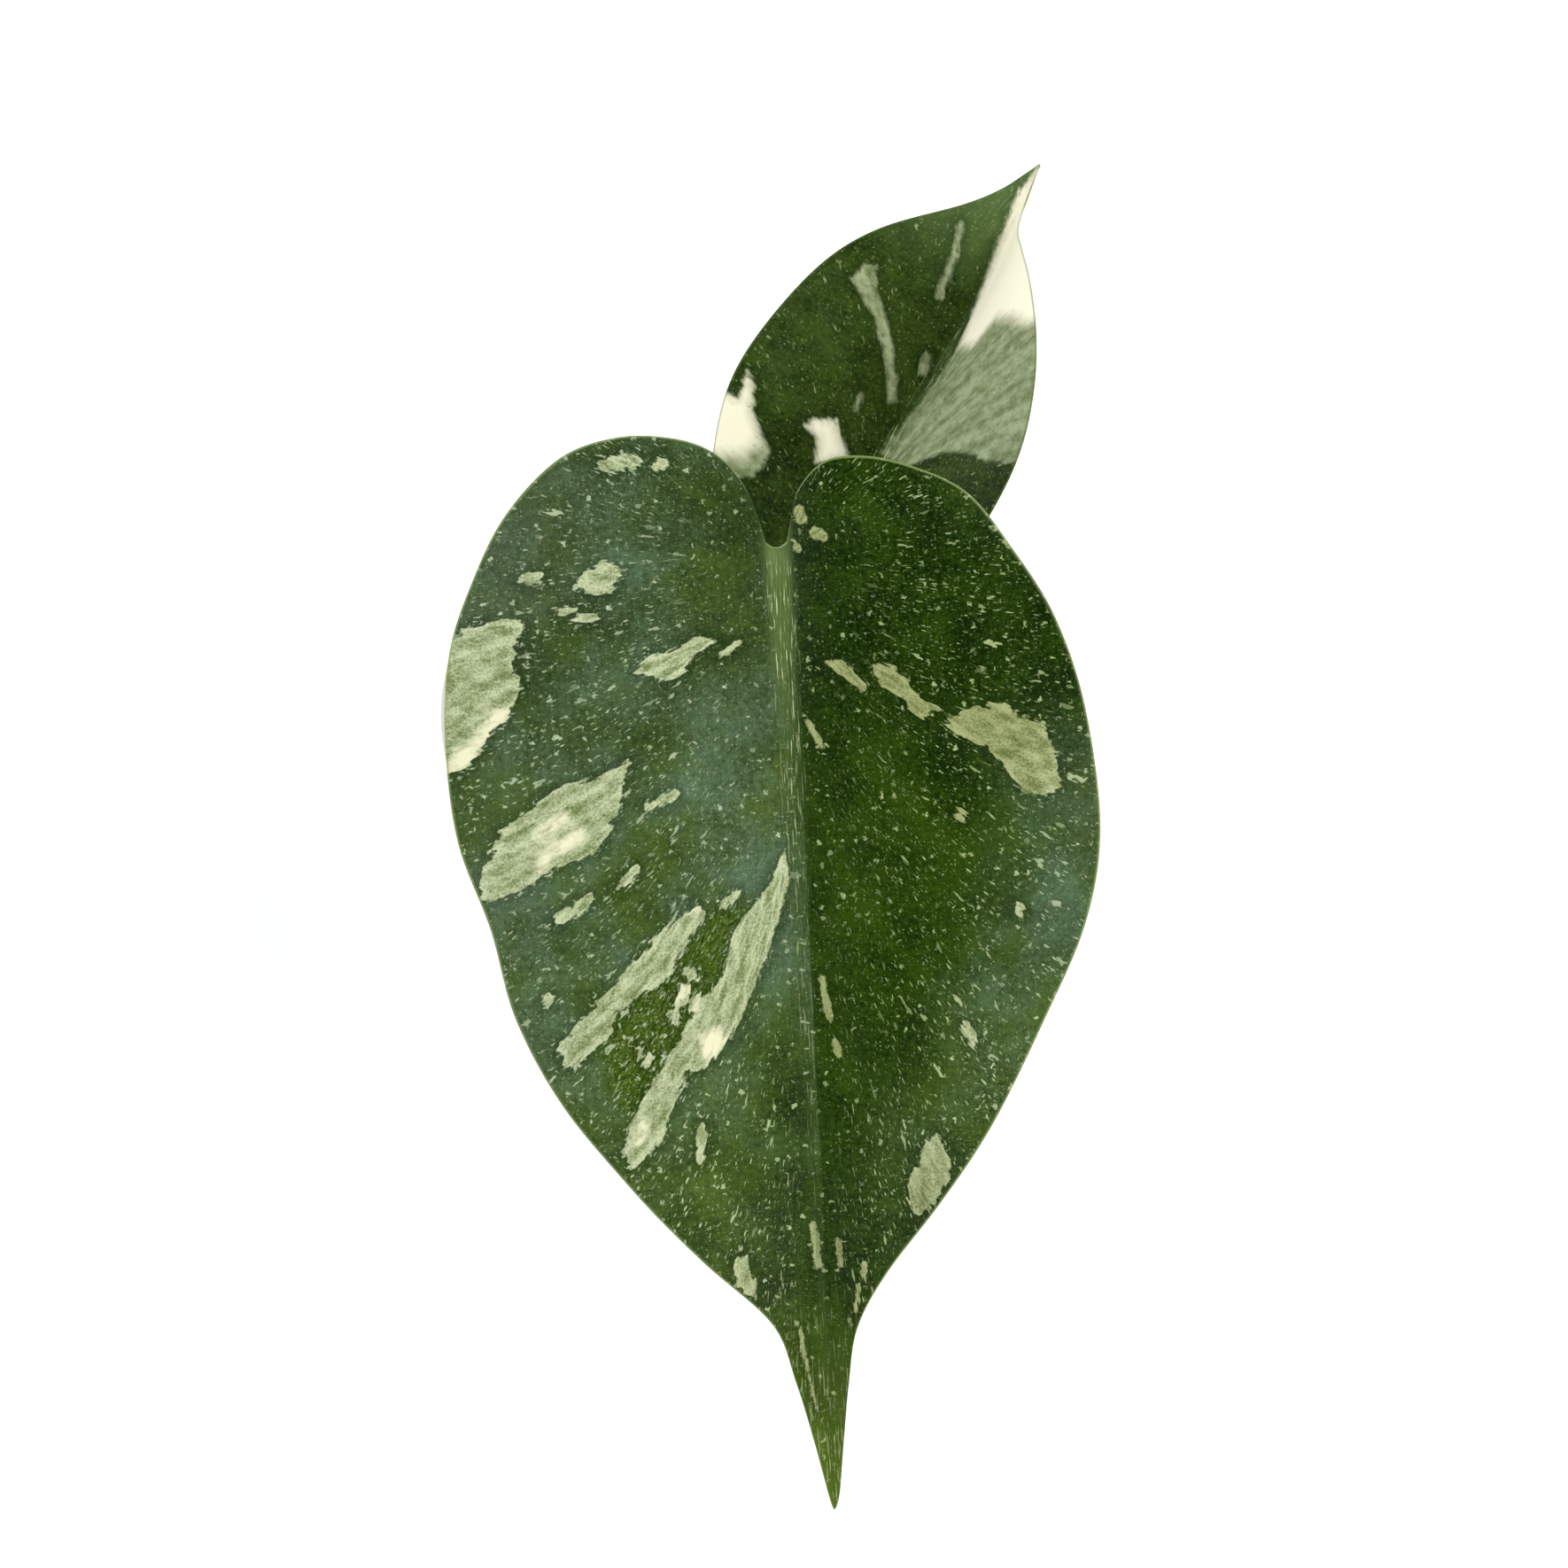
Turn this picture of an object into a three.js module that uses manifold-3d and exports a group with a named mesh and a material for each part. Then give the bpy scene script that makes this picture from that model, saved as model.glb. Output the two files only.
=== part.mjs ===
// A potted thai constellation monstera: a young plant of two heart-shaped leaves in a white nursery pot.
// Millimetres, +Z up. The origin is the centre of the pot's underside, on the surface it stands on.

import * as THREE from "three";
import { mergeVertices } from "three/addons/utils/BufferGeometryUtils.js";
import Module from "manifold-3d";

const wasm = await Module();
wasm.setup();

const DEG = Math.PI / 180;
const { lerp, smoothstep } = THREE.MathUtils;

// Clearance between pieces that touch on the real plant
const GAP = 0.35;

// Pot: a thin moulded cup with a rolled band at its rim and holes in its floor
const pot = {
  height: 90,
  rimRadius: 51,
  rimBand: 10,
  rimRound: 1.1,
  bandStep: 2.2,
  shoulderRadius: 48.4,
  baseRadius: 36,
  wall: 1.6,
  footWidth: 5,
  floor: 2,
  recess: 2.2,
  padRadius: 9,
  drainRadius: 3.4,
  drainCircle: 21,
  drains: 6,
  sides: 40,
};

// Potting mix: fills the pot to a little below the band, with bark chips half sunk in its top
const mix = { top: 76.5, edgeDrop: 1.6, swell: 1.3, chips: 26, chipSize: 6.5, clearOfStem: 14 };

// Stem: a short upright cane with a swollen ring under each leaf's base
const stem = { x: -2, y: 5, foot: 50, top: 105, radius: 5.8, ring: 0.5, ringHeights: [78.6, 92.4], sides: 20 };

// The large leaf hangs over the pot's front, the small one rises behind it.
// Heading is turned from -Y towards +X, pitch is the fall of the midrib, roll turns about the midrib.
// In a blade's own frame x runs down the midrib, y across it and z out of its upper face.
// Margins are points (y, x) from the notch at the stalk, round the lobe, to the drip tip.
const largeLeaf = {
  name: "leaf_large",
  origin: [23.9, -38.9, 224.1],
  heading: 4.2,
  pitch: 30,
  roll: 0,
  length: 171.3,
  bow: 0,
  tipShift: 0,
  arch: [-0.07, 0.176],
  shoulder: { rise: 3, reach: 12 },
  droop: { fall: 9, at: 55 },
  slope: { plus: [0.035, 0.214], minus: [0.035, 0.214], power: 1.5 },
  rib: { halfWidth: 1.7, depth: 3.5, spread: 2.9 },
  tipHalfWidth: 0.8,
  thickness: 0.75,
  veins: 8,
  veinRelief: 0.5,
  ripple: { height: 1, waves: 4.5 },
  rows: 40,
  columns: 10,
  margins: {
    minus: [
      [-2.5, -3.2], [-4.8, -9.6], [-9.2, -15.1], [-16, -18], [-25.5, -18.7], [-35.2, -15.8],
      [-44.6, -7.2], [-51, 3.8], [-55.5, 15.3], [-57.3, 30], [-56.4, 46.4], [-51.7, 61.5],
      [-48.6, 76.7], [-41.9, 92.2], [-31.6, 106.8], [-20.5, 120.5], [-9.2, 134.2], [-5.6, 146],
      [-3, 158], [-0.8, 171.3],
    ],
    plus: [
      [2.6, -2.8], [3.9, -8.1], [8.6, -12.7], [15.2, -13.2], [23.1, -11.1], [32, -6.2],
      [38.8, 3.3], [45.5, 15.4], [50, 31], [51.2, 50.5], [47.7, 66.7], [40.1, 82.7],
      [30.8, 98.9], [20.5, 113.6], [11, 126.5], [5.6, 136.5], [3.6, 147], [2.2, 159],
      [0.8, 171.3],
    ],
  },
};

const smallLeaf = {
  name: "leaf_small",
  origin: [32.9, -2.5, 160.5],
  heading: 152,
  pitch: -14,
  roll: -22,
  length: 93,
  bow: -4.9,
  tipShift: 3.2,
  arch: [-0.05, 0.143],
  shoulder: { rise: 0.8, reach: 8 },
  droop: { fall: 3.2, at: 38 },
  slope: { plus: [0.62, 0.05], minus: [0.25, 1], power: 1 },
  rib: { halfWidth: 1.8, depth: 2.2, spread: 2.1 },
  tipHalfWidth: 0.6,
  thickness: 0.7,
  veins: 7,
  veinRelief: 0.35,
  ripple: { height: 0.5, waves: 3 },
  rows: 28,
  columns: 8,
  margins: {
    minus: [
      [-2.1, -2.6], [-5, -8], [-13, -10.5], [-24, -7.5], [-32.5, 2], [-38.6, 15.5],
      [-40.6, 26], [-38.4, 36.5], [-32.5, 47], [-23.5, 58], [-14.4, 66.8], [-5.2, 75],
      [-0.3, 82], [2.6, 93],
    ],
    plus: [
      [2, -2.6], [4.5, -7.5], [10, -9.8], [16.5, -7.5], [21.4, -0.5], [24.4, 10],
      [26.1, 23], [25.4, 37], [22.4, 51], [17.2, 63.5], [8.9, 77], [5.4, 84.5],
      [3.8, 93],
    ],
  },
};

// How far down the midrib a row of the blade starts, for its place along the margin
const rowStart = { straight: 0.05, power: 3.6 };
// Where a row bends: shares of its way across and along, at the notch and past the lobe
const rowBend = { across: 0.28, alongNotch: 0.32, along: 0.58, settled: 0.35 };

// Leaf stalks: a gutter open to the stem, which narrows to a grooved stalk and swells under the blade.
// Stations are [share of the way up, gutter radius, back thickness, edge thickness, half wrap in degrees].
const stalkSides = 10;
const largeStalk = {
  name: "petiole_large",
  leaf: largeLeaf,
  rows: 36,
  facing: [-59, -86],
  path: [[-2, 5, 94.2], [-2, 5, 106], [-0.6, 2.5, 120], [4.6, -6.6, 146], [13.4, -21.5, 181]],
  underBlade: [[-1.4, -17], [-1.1, -4.55]],
  stations: [
    [0, 6.5, 1.5, 0.9, 165], [0.09, 6.5, 2.3, 0.9, 150], [0.19, 4.4, 3, 0.9, 130],
    [0.32, 3.2, 3.2, 0.9, 125], [0.44, 2.1, 3.2, 1, 120], [0.52, 1, 3.3, 1.6, 104],
    [0.86, 0.8, 3.1, 1.5, 100], [0.94, 0.7, 3.9, 1.8, 112], [1, 0.7, 3.9, 1.8, 118],
  ],
};
const smallStalk = {
  name: "petiole_small",
  leaf: smallLeaf,
  rows: 30,
  facing: [-12, 62],
  path: [[-2, 5, 80.3], [-2, 5, 85.6], [2, 4.2, 91], [6.6, 3.2, 97], [12.4, 2, 107], [21.6, 0.2, 129]],
  underBlade: [[-1.2, -13], [-1, -3.2]],
  stations: [
    [0, 6.8, 1.3, 0.9, 160], [0.035, 6.8, 1.6, 0.9, 125], [0.07, 6.6, 2.1, 0.9, 85], [0.135, 5, 2.8, 0.9, 66],
    [0.22, 3.4, 3, 0.9, 82], [0.36, 2.6, 2.7, 0.9, 110], [0.5, 1.6, 2.5, 1, 110],
    [0.58, 0.8, 2.5, 1.3, 100], [0.86, 0.7, 2.4, 1.2, 100], [0.94, 0.6, 3, 1.4, 112],
    [1, 0.6, 3, 1.4, 118],
  ],
};

// The next leaf, still rolled, which stands in the large stalk's gutter
const newLeaf = { height: 48, radius: 2.2, lean: [3.6, -5.6], roll: 0.16, sides: 14, rings: 12 };

const colours = {
  pot: 0xf1f0ee,
  mix: 0x4a3526,
  stem: 0x5f7a34,
  stalk: 0x6f8a45,
  blade: 0x3e561f,
  smallBlade: 0x47601f,
  newLeaf: 0xa8bd72,
};

// A repeatable stream of numbers from 0 to 1
function seeded(seed) {
  let state = seed;
  return () => {
    state = (state + 0x6d2b79f5) | 0;
    let t = Math.imul(state ^ (state >>> 15), 1 | state);
    t = (t + Math.imul(t ^ (t >>> 7), 61 | t)) ^ t;
    return ((t ^ (t >>> 14)) >>> 0) / 4294967296;
  };
}

// Six times the volume inside a triangle list, negative where its faces point inwards
function signedVolume(position, index) {
  const [a, b, c] = [new THREE.Vector3(), new THREE.Vector3(), new THREE.Vector3()];
  let volume = 0;
  for (let k = 0; k < index.length; k += 3) {
    a.fromArray(position, 3 * index[k]);
    b.fromArray(position, 3 * index[k + 1]);
    c.fromArray(position, 3 * index[k + 2]);
    volume += a.dot(b.cross(c));
  }
  return volume;
}

// The same surface with shared vertices merged, collapsed triangles dropped and its faces outwards
function closedSurface(geometry) {
  const bare = geometry.clone();
  bare.deleteAttribute("normal");
  bare.deleteAttribute("uv");
  const merged = mergeVertices(bare, 1e-4);
  const position = merged.attributes.position.array;
  const index = [];
  for (let k = 0; k < merged.index.count; k += 3) {
    const [a, b, c] = merged.index.array.slice(k, k + 3);
    if (a !== b && b !== c && c !== a) index.push(a, b, c);
  }
  if (signedVolume(position, index) < 0) index.reverse();
  merged.setIndex(index);
  return merged;
}

function solidOf(geometry) {
  const closed = closedSurface(geometry);
  return new wasm.Manifold(
    new wasm.Mesh({
      numProp: 3,
      vertProperties: new Float32Array(closed.attributes.position.array),
      triVerts: new Uint32Array(closed.index.array),
    }),
  );
}

function geometryOf(solid) {
  const mesh = solid.getMesh();
  const geometry = new THREE.BufferGeometry();
  geometry.setAttribute("position", new THREE.Float32BufferAttribute(mesh.vertProperties, 3));
  geometry.setIndex(Array.from(mesh.triVerts));
  return geometry;
}

function movedSolid(geometry, position, turn = [0, 0, 0]) {
  const matrix = new THREE.Matrix4().makeRotationFromEuler(new THREE.Euler(...turn));
  matrix.setPosition(...position);
  return solidOf(geometry.clone().applyMatrix4(matrix));
}

// A solid of revolution about +Z from a profile of [radius, height] pairs
function turned(profile, sides) {
  const points = profile.map(([radius, height]) => new THREE.Vector2(radius, height));
  return new THREE.LatheGeometry(points, sides).rotateX(90 * DEG);
}

function uprightCylinder(radius, height, sides) {
  return new THREE.CylinderGeometry(radius, radius, height, sides).rotateX(90 * DEG);
}

// A closed thin solid between two faces that are given as the same grid of points
function sheetSolid(upper, lower) {
  const rows = upper.length;
  const columns = upper[0].length;
  const position = [upper, lower].flat(2).flatMap((point) => point.toArray());
  const at = (face, i, j) => (face * rows + i) * columns + j;
  const index = [];
  for (let i = 0; i < rows - 1; i++) {
    for (let j = 0; j < columns - 1; j++) {
      for (const face of [0, 1]) {
        const quad = [at(face, i, j), at(face, i + 1, j), at(face, i + 1, j + 1), at(face, i, j + 1)];
        const triangles = [quad[0], quad[1], quad[2], quad[0], quad[2], quad[3]];
        index.push(...(face === 0 ? triangles : triangles.reverse()));
      }
    }
  }
  const border = [];
  for (let i = 0; i < rows - 1; i++) border.push([i, 0]);
  for (let j = 0; j < columns - 1; j++) border.push([rows - 1, j]);
  for (let i = rows - 1; i > 0; i--) border.push([i, columns - 1]);
  for (let j = columns - 1; j > 0; j--) border.push([0, j]);
  border.forEach(([i, j], k) => {
    const [m, n] = border[(k + 1) % border.length];
    index.push(at(0, m, n), at(0, i, j), at(1, i, j), at(0, m, n), at(1, i, j), at(1, m, n));
  });
  const geometry = new THREE.BufferGeometry();
  geometry.setAttribute("position", new THREE.Float32BufferAttribute(position, 3));
  geometry.setIndex(index);
  return closedSurface(geometry);
}

// Pot

function potWallRadius(height) {
  return lerp(pot.baseRadius, pot.shoulderRadius, height / (pot.height - pot.rimBand));
}

function potGeometry() {
  const bandFoot = pot.height - pot.rimBand;
  const lip = pot.rimRadius - pot.wall - 1;
  const profile = [
    [0, 0],
    [pot.padRadius, 0],
    [pot.padRadius + 1, pot.recess],
    [pot.baseRadius - pot.footWidth - 1, pot.recess],
    [pot.baseRadius - pot.footWidth, 0],
    [pot.baseRadius - 0.8, 0],
    [potWallRadius(1.2), 1.2],
    [potWallRadius(bandFoot - pot.bandStep), bandFoot - pot.bandStep],
    [pot.rimRadius - 0.4, bandFoot],
    [pot.rimRadius, bandFoot + 0.8],
    [pot.rimRadius, pot.height - pot.rimRound],
    [pot.rimRadius - pot.rimRound, pot.height],
    [lip + 0.6, pot.height],
    [lip, pot.height - 0.8],
    [potWallRadius(bandFoot) - pot.wall, bandFoot - 1],
    [potWallRadius(pot.recess + pot.floor) - pot.wall, pot.recess + pot.floor],
    [0, pot.recess + pot.floor],
  ];
  let solid = solidOf(turned(profile, pot.sides));
  const drain = uprightCylinder(pot.drainRadius, 20, 12);
  for (let k = 0; k < pot.drains; k++) {
    const angle = (k / pot.drains) * 360 * DEG;
    const place = [pot.drainCircle * Math.cos(angle), pot.drainCircle * Math.sin(angle), 0];
    solid = solid.subtract(movedSolid(drain, place));
  }
  return geometryOf(solid);
}

// Potting mix

// Low mounds in the top of the mix, from three crossing waves
function mixSwell(x, y) {
  const waves = Math.sin(0.19 * x + 0.7) + Math.sin(0.23 * y - 0.16 * x) + Math.sin(0.41 * y + 0.33 * x + 2);
  return (mix.swell * waves) / 3;
}

function mixGeometry() {
  const base = pot.recess + pot.floor + GAP;
  const edge = mix.top - mix.edgeDrop;
  const rings = [0.94, 0.82, 0.7, 0.58, 0.46, 0.34, 0.22, 0.1];
  const edgeRadius = potWallRadius(edge) - pot.wall - GAP;
  const profile = [
    [0, base],
    [potWallRadius(base) - pot.wall - GAP, base],
    [edgeRadius, edge],
    ...rings.map((share) => [edgeRadius * share, mix.top]),
    [0, mix.top],
  ];
  const body = closedSurface(turned(profile, pot.sides));
  const place = body.attributes.position;
  for (let k = 0; k < place.count; k++) {
    if (place.getZ(k) > edge + 0.1) place.setZ(k, mix.top + mixSwell(place.getX(k), place.getY(k)));
  }
  let solid = solidOf(body);
  const random = seeded(7);
  for (let placed = 0; placed < mix.chips; ) {
    const angle = 360 * DEG * random();
    const out = (edgeRadius - mix.chipSize) * Math.sqrt(random());
    const [x, y] = [out * Math.cos(angle), out * Math.sin(angle)];
    const size = mix.chipSize * (0.7 + 0.9 * random());
    const turn = [0.7 * random() - 0.35, 0.7 * random() - 0.35, 6.28 * random()];
    if (Math.hypot(x - stem.x, y - stem.y) < mix.clearOfStem) continue;
    const chip = new THREE.BoxGeometry(size, size * 0.62, size * 0.5);
    solid = solid.add(movedSolid(chip, [x, y, mix.top + mixSwell(x, y) + 0.3], turn));
    placed += 1;
  }
  const hole = uprightCylinder(stem.radius + stem.ring + GAP, 60, stem.sides);
  return geometryOf(solid.subtract(movedSolid(hole, [stem.x, stem.y, stem.foot - GAP + 30])));
}

// Stem

function stemGeometry() {
  const body = stem.radius;
  const profile = [[0, stem.foot], [body - 1, stem.foot], [body, stem.foot + 1]];
  for (const height of stem.ringHeights) {
    profile.push([body, height - 1.5], [body + stem.ring, height - 0.5]);
    profile.push([body + stem.ring, height + 0.4], [body, height + 1.2]);
  }
  profile.push([body, stem.top - 1.6], [body - 1.4, stem.top - 0.3], [body - 2.6, stem.top], [0, stem.top]);
  return closedSurface(turned(profile, stem.sides)).translate(stem.x, stem.y, 0);
}

// Blades

function bladeMatrix(leaf) {
  const turn = new THREE.Euler(leaf.roll * DEG, leaf.pitch * DEG, (leaf.heading - 90) * DEG, "ZYX");
  return new THREE.Matrix4().makeRotationFromEuler(turn).setPosition(...leaf.origin);
}

// The midrib's sideways place at a distance x down the blade
function midribAt(leaf, x) {
  const share = THREE.MathUtils.clamp(x / leaf.length, 0, 1);
  return leaf.tipShift * share * share + leaf.bow * 4 * share * (1 - share);
}

function ribHalfWidth(leaf, x) {
  const share = THREE.MathUtils.clamp(x / leaf.length, 0, 1);
  return leaf.rib.halfWidth * (1 - share) ** 0.9 + 0.45 * leaf.tipHalfWidth;
}

// The upper face's height: arched along the midrib, folded up from it, and falling towards the margins
function bladeHeight(leaf, y, x) {
  const side = y - midribAt(leaf, x);
  const out = Math.hypot(side, 1) - 1;
  const share = x / leaf.length;
  const down = THREE.MathUtils.clamp(share, 0, 1);
  const [slope, gain] = side > 0 ? leaf.slope.plus : leaf.slope.minus;
  const arch = -leaf.length * (leaf.arch[0] * share + leaf.arch[1] * share * share);
  const shoulder = leaf.shoulder.rise * (1 - Math.exp(-out / leaf.shoulder.reach));
  const droop = leaf.droop.fall * (out / leaf.droop.at) ** 2;
  return arch + shoulder - droop + out * (slope + gain * down ** leaf.slope.power);
}

// Thickness along z: the blade's own, measured square to its slope, and the midrib under it
function bladeDepth(leaf, y, x) {
  const step = 0.5;
  const across = (bladeHeight(leaf, y + step, x) - bladeHeight(leaf, y - step, x)) / (2 * step);
  const along = (bladeHeight(leaf, y, x + step) - bladeHeight(leaf, y, x - step)) / (2 * step);
  const share = THREE.MathUtils.clamp(x / leaf.length, 0, 1);
  const taper = lerp(1, 0.1, share ** 0.8) * smoothstep(x, -6, 0.5);
  const off = (y - midribAt(leaf, x)) / (leaf.rib.spread * lerp(1, 0.4, share));
  return leaf.thickness * Math.hypot(1, across, along) + leaf.rib.depth * taper * Math.exp(-off * off);
}

// One row of a blade's half, from the midrib's edge to the margin, with its share out from the midrib
function halfRow(leaf, side, share, columns) {
  const sign = side === "plus" ? 1 : -1;
  const start = leaf.length * lerp(share ** rowStart.power, share, rowStart.straight);
  const from = new THREE.Vector2(midribAt(leaf, start) + sign * ribHalfWidth(leaf, start), start);
  const to = leaf.curves[side].getPointAt(share);
  const along = lerp(rowBend.alongNotch, rowBend.along, smoothstep(share, 0, rowBend.settled));
  const bend = new THREE.Vector2(lerp(from.x, to.x, rowBend.across), lerp(from.y, to.y, along));
  const curve = new THREE.QuadraticBezierCurve(from, bend, to);
  return Array.from({ length: columns }, (_, k) => {
    const out = (k + 1) / columns;
    const point = curve.getPoint(out);
    const vein = 0.5 + 0.5 * Math.cos(2 * Math.PI * leaf.veins * share);
    const ripple = leaf.ripple.height * Math.sin(2 * Math.PI * leaf.ripple.waves * share + sign);
    const fade = smoothstep(share, 0, 0.12) * smoothstep(1 - share, 0, 0.15);
    const relief = fade * (ripple * out ** 3 - leaf.veinRelief * vein * Math.sin(Math.PI * out));
    return { y: point.x, x: point.y, relief };
  });
}

// A blade's row of points right across: margin, half, midrib, half, margin
function bladeRow(leaf, share) {
  const start = leaf.length * lerp(share ** rowStart.power, share, rowStart.straight);
  const midrib = [-1, -0.5, 0, 0.5, 1].map((k) => ({
    y: midribAt(leaf, start) + k * ribHalfWidth(leaf, start),
    x: start,
    relief: 0,
  }));
  const [minus, plus] = ["minus", "plus"].map((side) => halfRow(leaf, side, share, leaf.columns));
  return [...minus.reverse(), ...midrib, ...plus];
}

function bladeGeometry(leaf) {
  leaf.curves = {};
  for (const side of ["minus", "plus"]) {
    leaf.curves[side] = new THREE.SplineCurve(leaf.margins[side].map((point) => new THREE.Vector2(...point)));
    leaf.curves[side].arcLengthDivisions = 400;
  }
  const grid = Array.from({ length: leaf.rows + 1 }, (_, i) => bladeRow(leaf, i / leaf.rows));
  const face = (depthShare) =>
    grid.map((row) =>
      row.map(({ x, y, relief }) => {
        const height = bladeHeight(leaf, y, x) + relief - depthShare * bladeDepth(leaf, y, x);
        return new THREE.Vector3(x, y, height);
      }),
    );
  return sheetSolid(face(0), face(1));
}

// Stalks

// The numbers of a stalk's section at a share of its way up, between its stations
function sectionAt(stations, share) {
  const next = Math.max(1, stations.findIndex(([at]) => at >= share - 1e-9));
  const [before, after] = [stations[next - 1], stations[next]];
  const blend = smoothstep(share, before[0], after[0]);
  return before.map((value, k) => lerp(value, after[k], blend)).slice(1);
}

function stalkGeometry(stalk) {
  const blade = bladeMatrix(stalk.leaf);
  const under = stalk.underBlade.map(([x, z]) => new THREE.Vector3(x, 0, z).applyMatrix4(blade));
  const path = new THREE.CatmullRomCurve3(
    [...stalk.path.map((point) => new THREE.Vector3(...point)), ...under],
    false,
    "centripetal",
  );
  const upright = new THREE.Vector3(0, 0, 1).transformDirection(blade);
  const inner = [];
  const outer = [];
  for (let i = 0; i <= stalk.rows; i++) {
    const share = i / stalk.rows;
    const [gutter, back, edge, wrap] = sectionAt(stalk.stations, share);
    const centre = path.getPointAt(share);
    const along = i === stalk.rows ? upright : path.getTangentAt(share);
    if (i === 0) along.set(0, 0, 1);
    const facing = lerp(stalk.facing[0], stalk.facing[1], smoothstep(share, 0.15, 0.95)) * DEG;
    const away = new THREE.Vector3(Math.cos(facing), Math.sin(facing), 0);
    away.addScaledVector(along, -away.dot(along)).normalize();
    const across = along.clone().cross(away);
    const ray = (turn, reach) =>
      centre
        .clone()
        .addScaledVector(away, reach * Math.cos(turn))
        .addScaledVector(across, reach * Math.sin(turn));
    const turns = Array.from({ length: stalkSides + 1 }, (_, k) => (2 * k) / stalkSides - 1);
    inner.push(turns.map((k) => ray(k * wrap * DEG, gutter)));
    outer.push(turns.map((k) => ray(k * wrap * DEG, gutter + lerp(edge, back, Math.cos(k * 90 * DEG)))));
  }
  return sheetSolid(inner, outer);
}

// New leaf: a rolled spear whose overlapping edge winds once round it

function newLeafGeometry() {
  const base = stem.top + GAP;
  const profile = [[0, 0], [newLeaf.radius * 0.85, 0]];
  for (let k = 1; k < newLeaf.rings; k++) {
    const share = k / newLeaf.rings;
    profile.push([newLeaf.radius * (1 - share ** 3) ** 0.8 * (0.85 + 0.35 * share), share * newLeaf.height]);
  }
  profile.push([0, newLeaf.height]);
  const geometry = closedSurface(turned(profile, newLeaf.sides));
  const place = geometry.attributes.position;
  for (let k = 0; k < place.count; k++) {
    const [x, y, z] = [place.getX(k), place.getY(k), place.getZ(k)];
    const share = Math.max(0, z / newLeaf.height);
    const turn = (Math.atan2(y, x) / (2 * Math.PI) + 1 + 0.5 * share) % 1;
    const swell = 1 + newLeaf.roll * (turn - 0.5) * smoothstep(share, 0, 0.3);
    const lean = share ** 1.5;
    place.setXYZ(k, x * swell + newLeaf.lean[0] * lean, y * swell + newLeaf.lean[1] * lean, z);
  }
  return geometry.translate(stem.x, stem.y, base);
}

// The plant in its pot

function named(name, geometry, color, roughness) {
  const mesh = new THREE.Mesh(geometry, new THREE.MeshStandardMaterial({ color, roughness, metalness: 0 }));
  mesh.name = name;
  return mesh;
}

function bladeMesh(leaf, color) {
  const mesh = named(leaf.name, bladeGeometry(leaf), color, 0.45);
  mesh.position.set(...leaf.origin);
  mesh.rotation.set(leaf.roll * DEG, leaf.pitch * DEG, (leaf.heading - 90) * DEG, "ZYX");
  return mesh;
}

const holder = new THREE.Group();
holder.add(named("pot", potGeometry(), colours.pot, 0.4));
holder.add(named("soil", mixGeometry(), colours.mix, 0.95));

const plant = new THREE.Group();
plant.add(named("stem", stemGeometry(), colours.stem, 0.55));
plant.add(named(largeStalk.name, stalkGeometry(largeStalk), colours.stalk, 0.5));
plant.add(named(smallStalk.name, stalkGeometry(smallStalk), colours.stalk, 0.5));
plant.add(named("new_leaf", newLeafGeometry(), colours.newLeaf, 0.5));
plant.add(bladeMesh(largeLeaf, colours.blade));
plant.add(bladeMesh(smallLeaf, colours.smallBlade));

const pottedMonstera = new THREE.Group();
pottedMonstera.add(holder, plant);

export default pottedMonstera;
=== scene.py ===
"""A young potted thai constellation monstera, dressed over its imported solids.

Two heart-shaped variegated blades on grooved stalks grow from a short stem, in a moulded nursery pot
of bark mix. Sizes are in millimetres, in the frame of the solids, and turn to metres where a mesh is
made.
"""

import logging
import math
from dataclasses import dataclass
from enum import Enum

import bmesh
import bpy
import numpy as np
from mathutils import Euler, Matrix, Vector


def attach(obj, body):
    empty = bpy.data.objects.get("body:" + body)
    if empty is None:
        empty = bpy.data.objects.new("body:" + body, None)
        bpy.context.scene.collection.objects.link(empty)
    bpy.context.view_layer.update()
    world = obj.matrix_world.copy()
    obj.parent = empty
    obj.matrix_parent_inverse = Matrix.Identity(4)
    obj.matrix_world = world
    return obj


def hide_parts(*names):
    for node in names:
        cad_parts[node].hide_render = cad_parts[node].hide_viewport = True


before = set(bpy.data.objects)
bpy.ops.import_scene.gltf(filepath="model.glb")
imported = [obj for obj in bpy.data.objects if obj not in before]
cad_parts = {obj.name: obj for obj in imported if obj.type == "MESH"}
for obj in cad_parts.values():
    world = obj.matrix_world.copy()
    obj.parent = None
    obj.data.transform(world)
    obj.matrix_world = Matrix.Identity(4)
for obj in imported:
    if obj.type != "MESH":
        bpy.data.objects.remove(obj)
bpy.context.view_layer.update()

BODY = "root"
MM = 0.001
# Clearance between pieces that touch on the real plant
GAP = 0.35
# Keeps a division by nothing away
TINY = 1e-9

log = logging.getLogger("potted_monstera")

Array = np.ndarray
# One number, or an array of them
Numbers = float | Array
# A mesh's points and the points of each of its faces
Shape = tuple[Array, list]
# A stream of random draws
Draws = np.random.Generator
Node = bpy.types.Node
Tree = bpy.types.NodeTree

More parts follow.
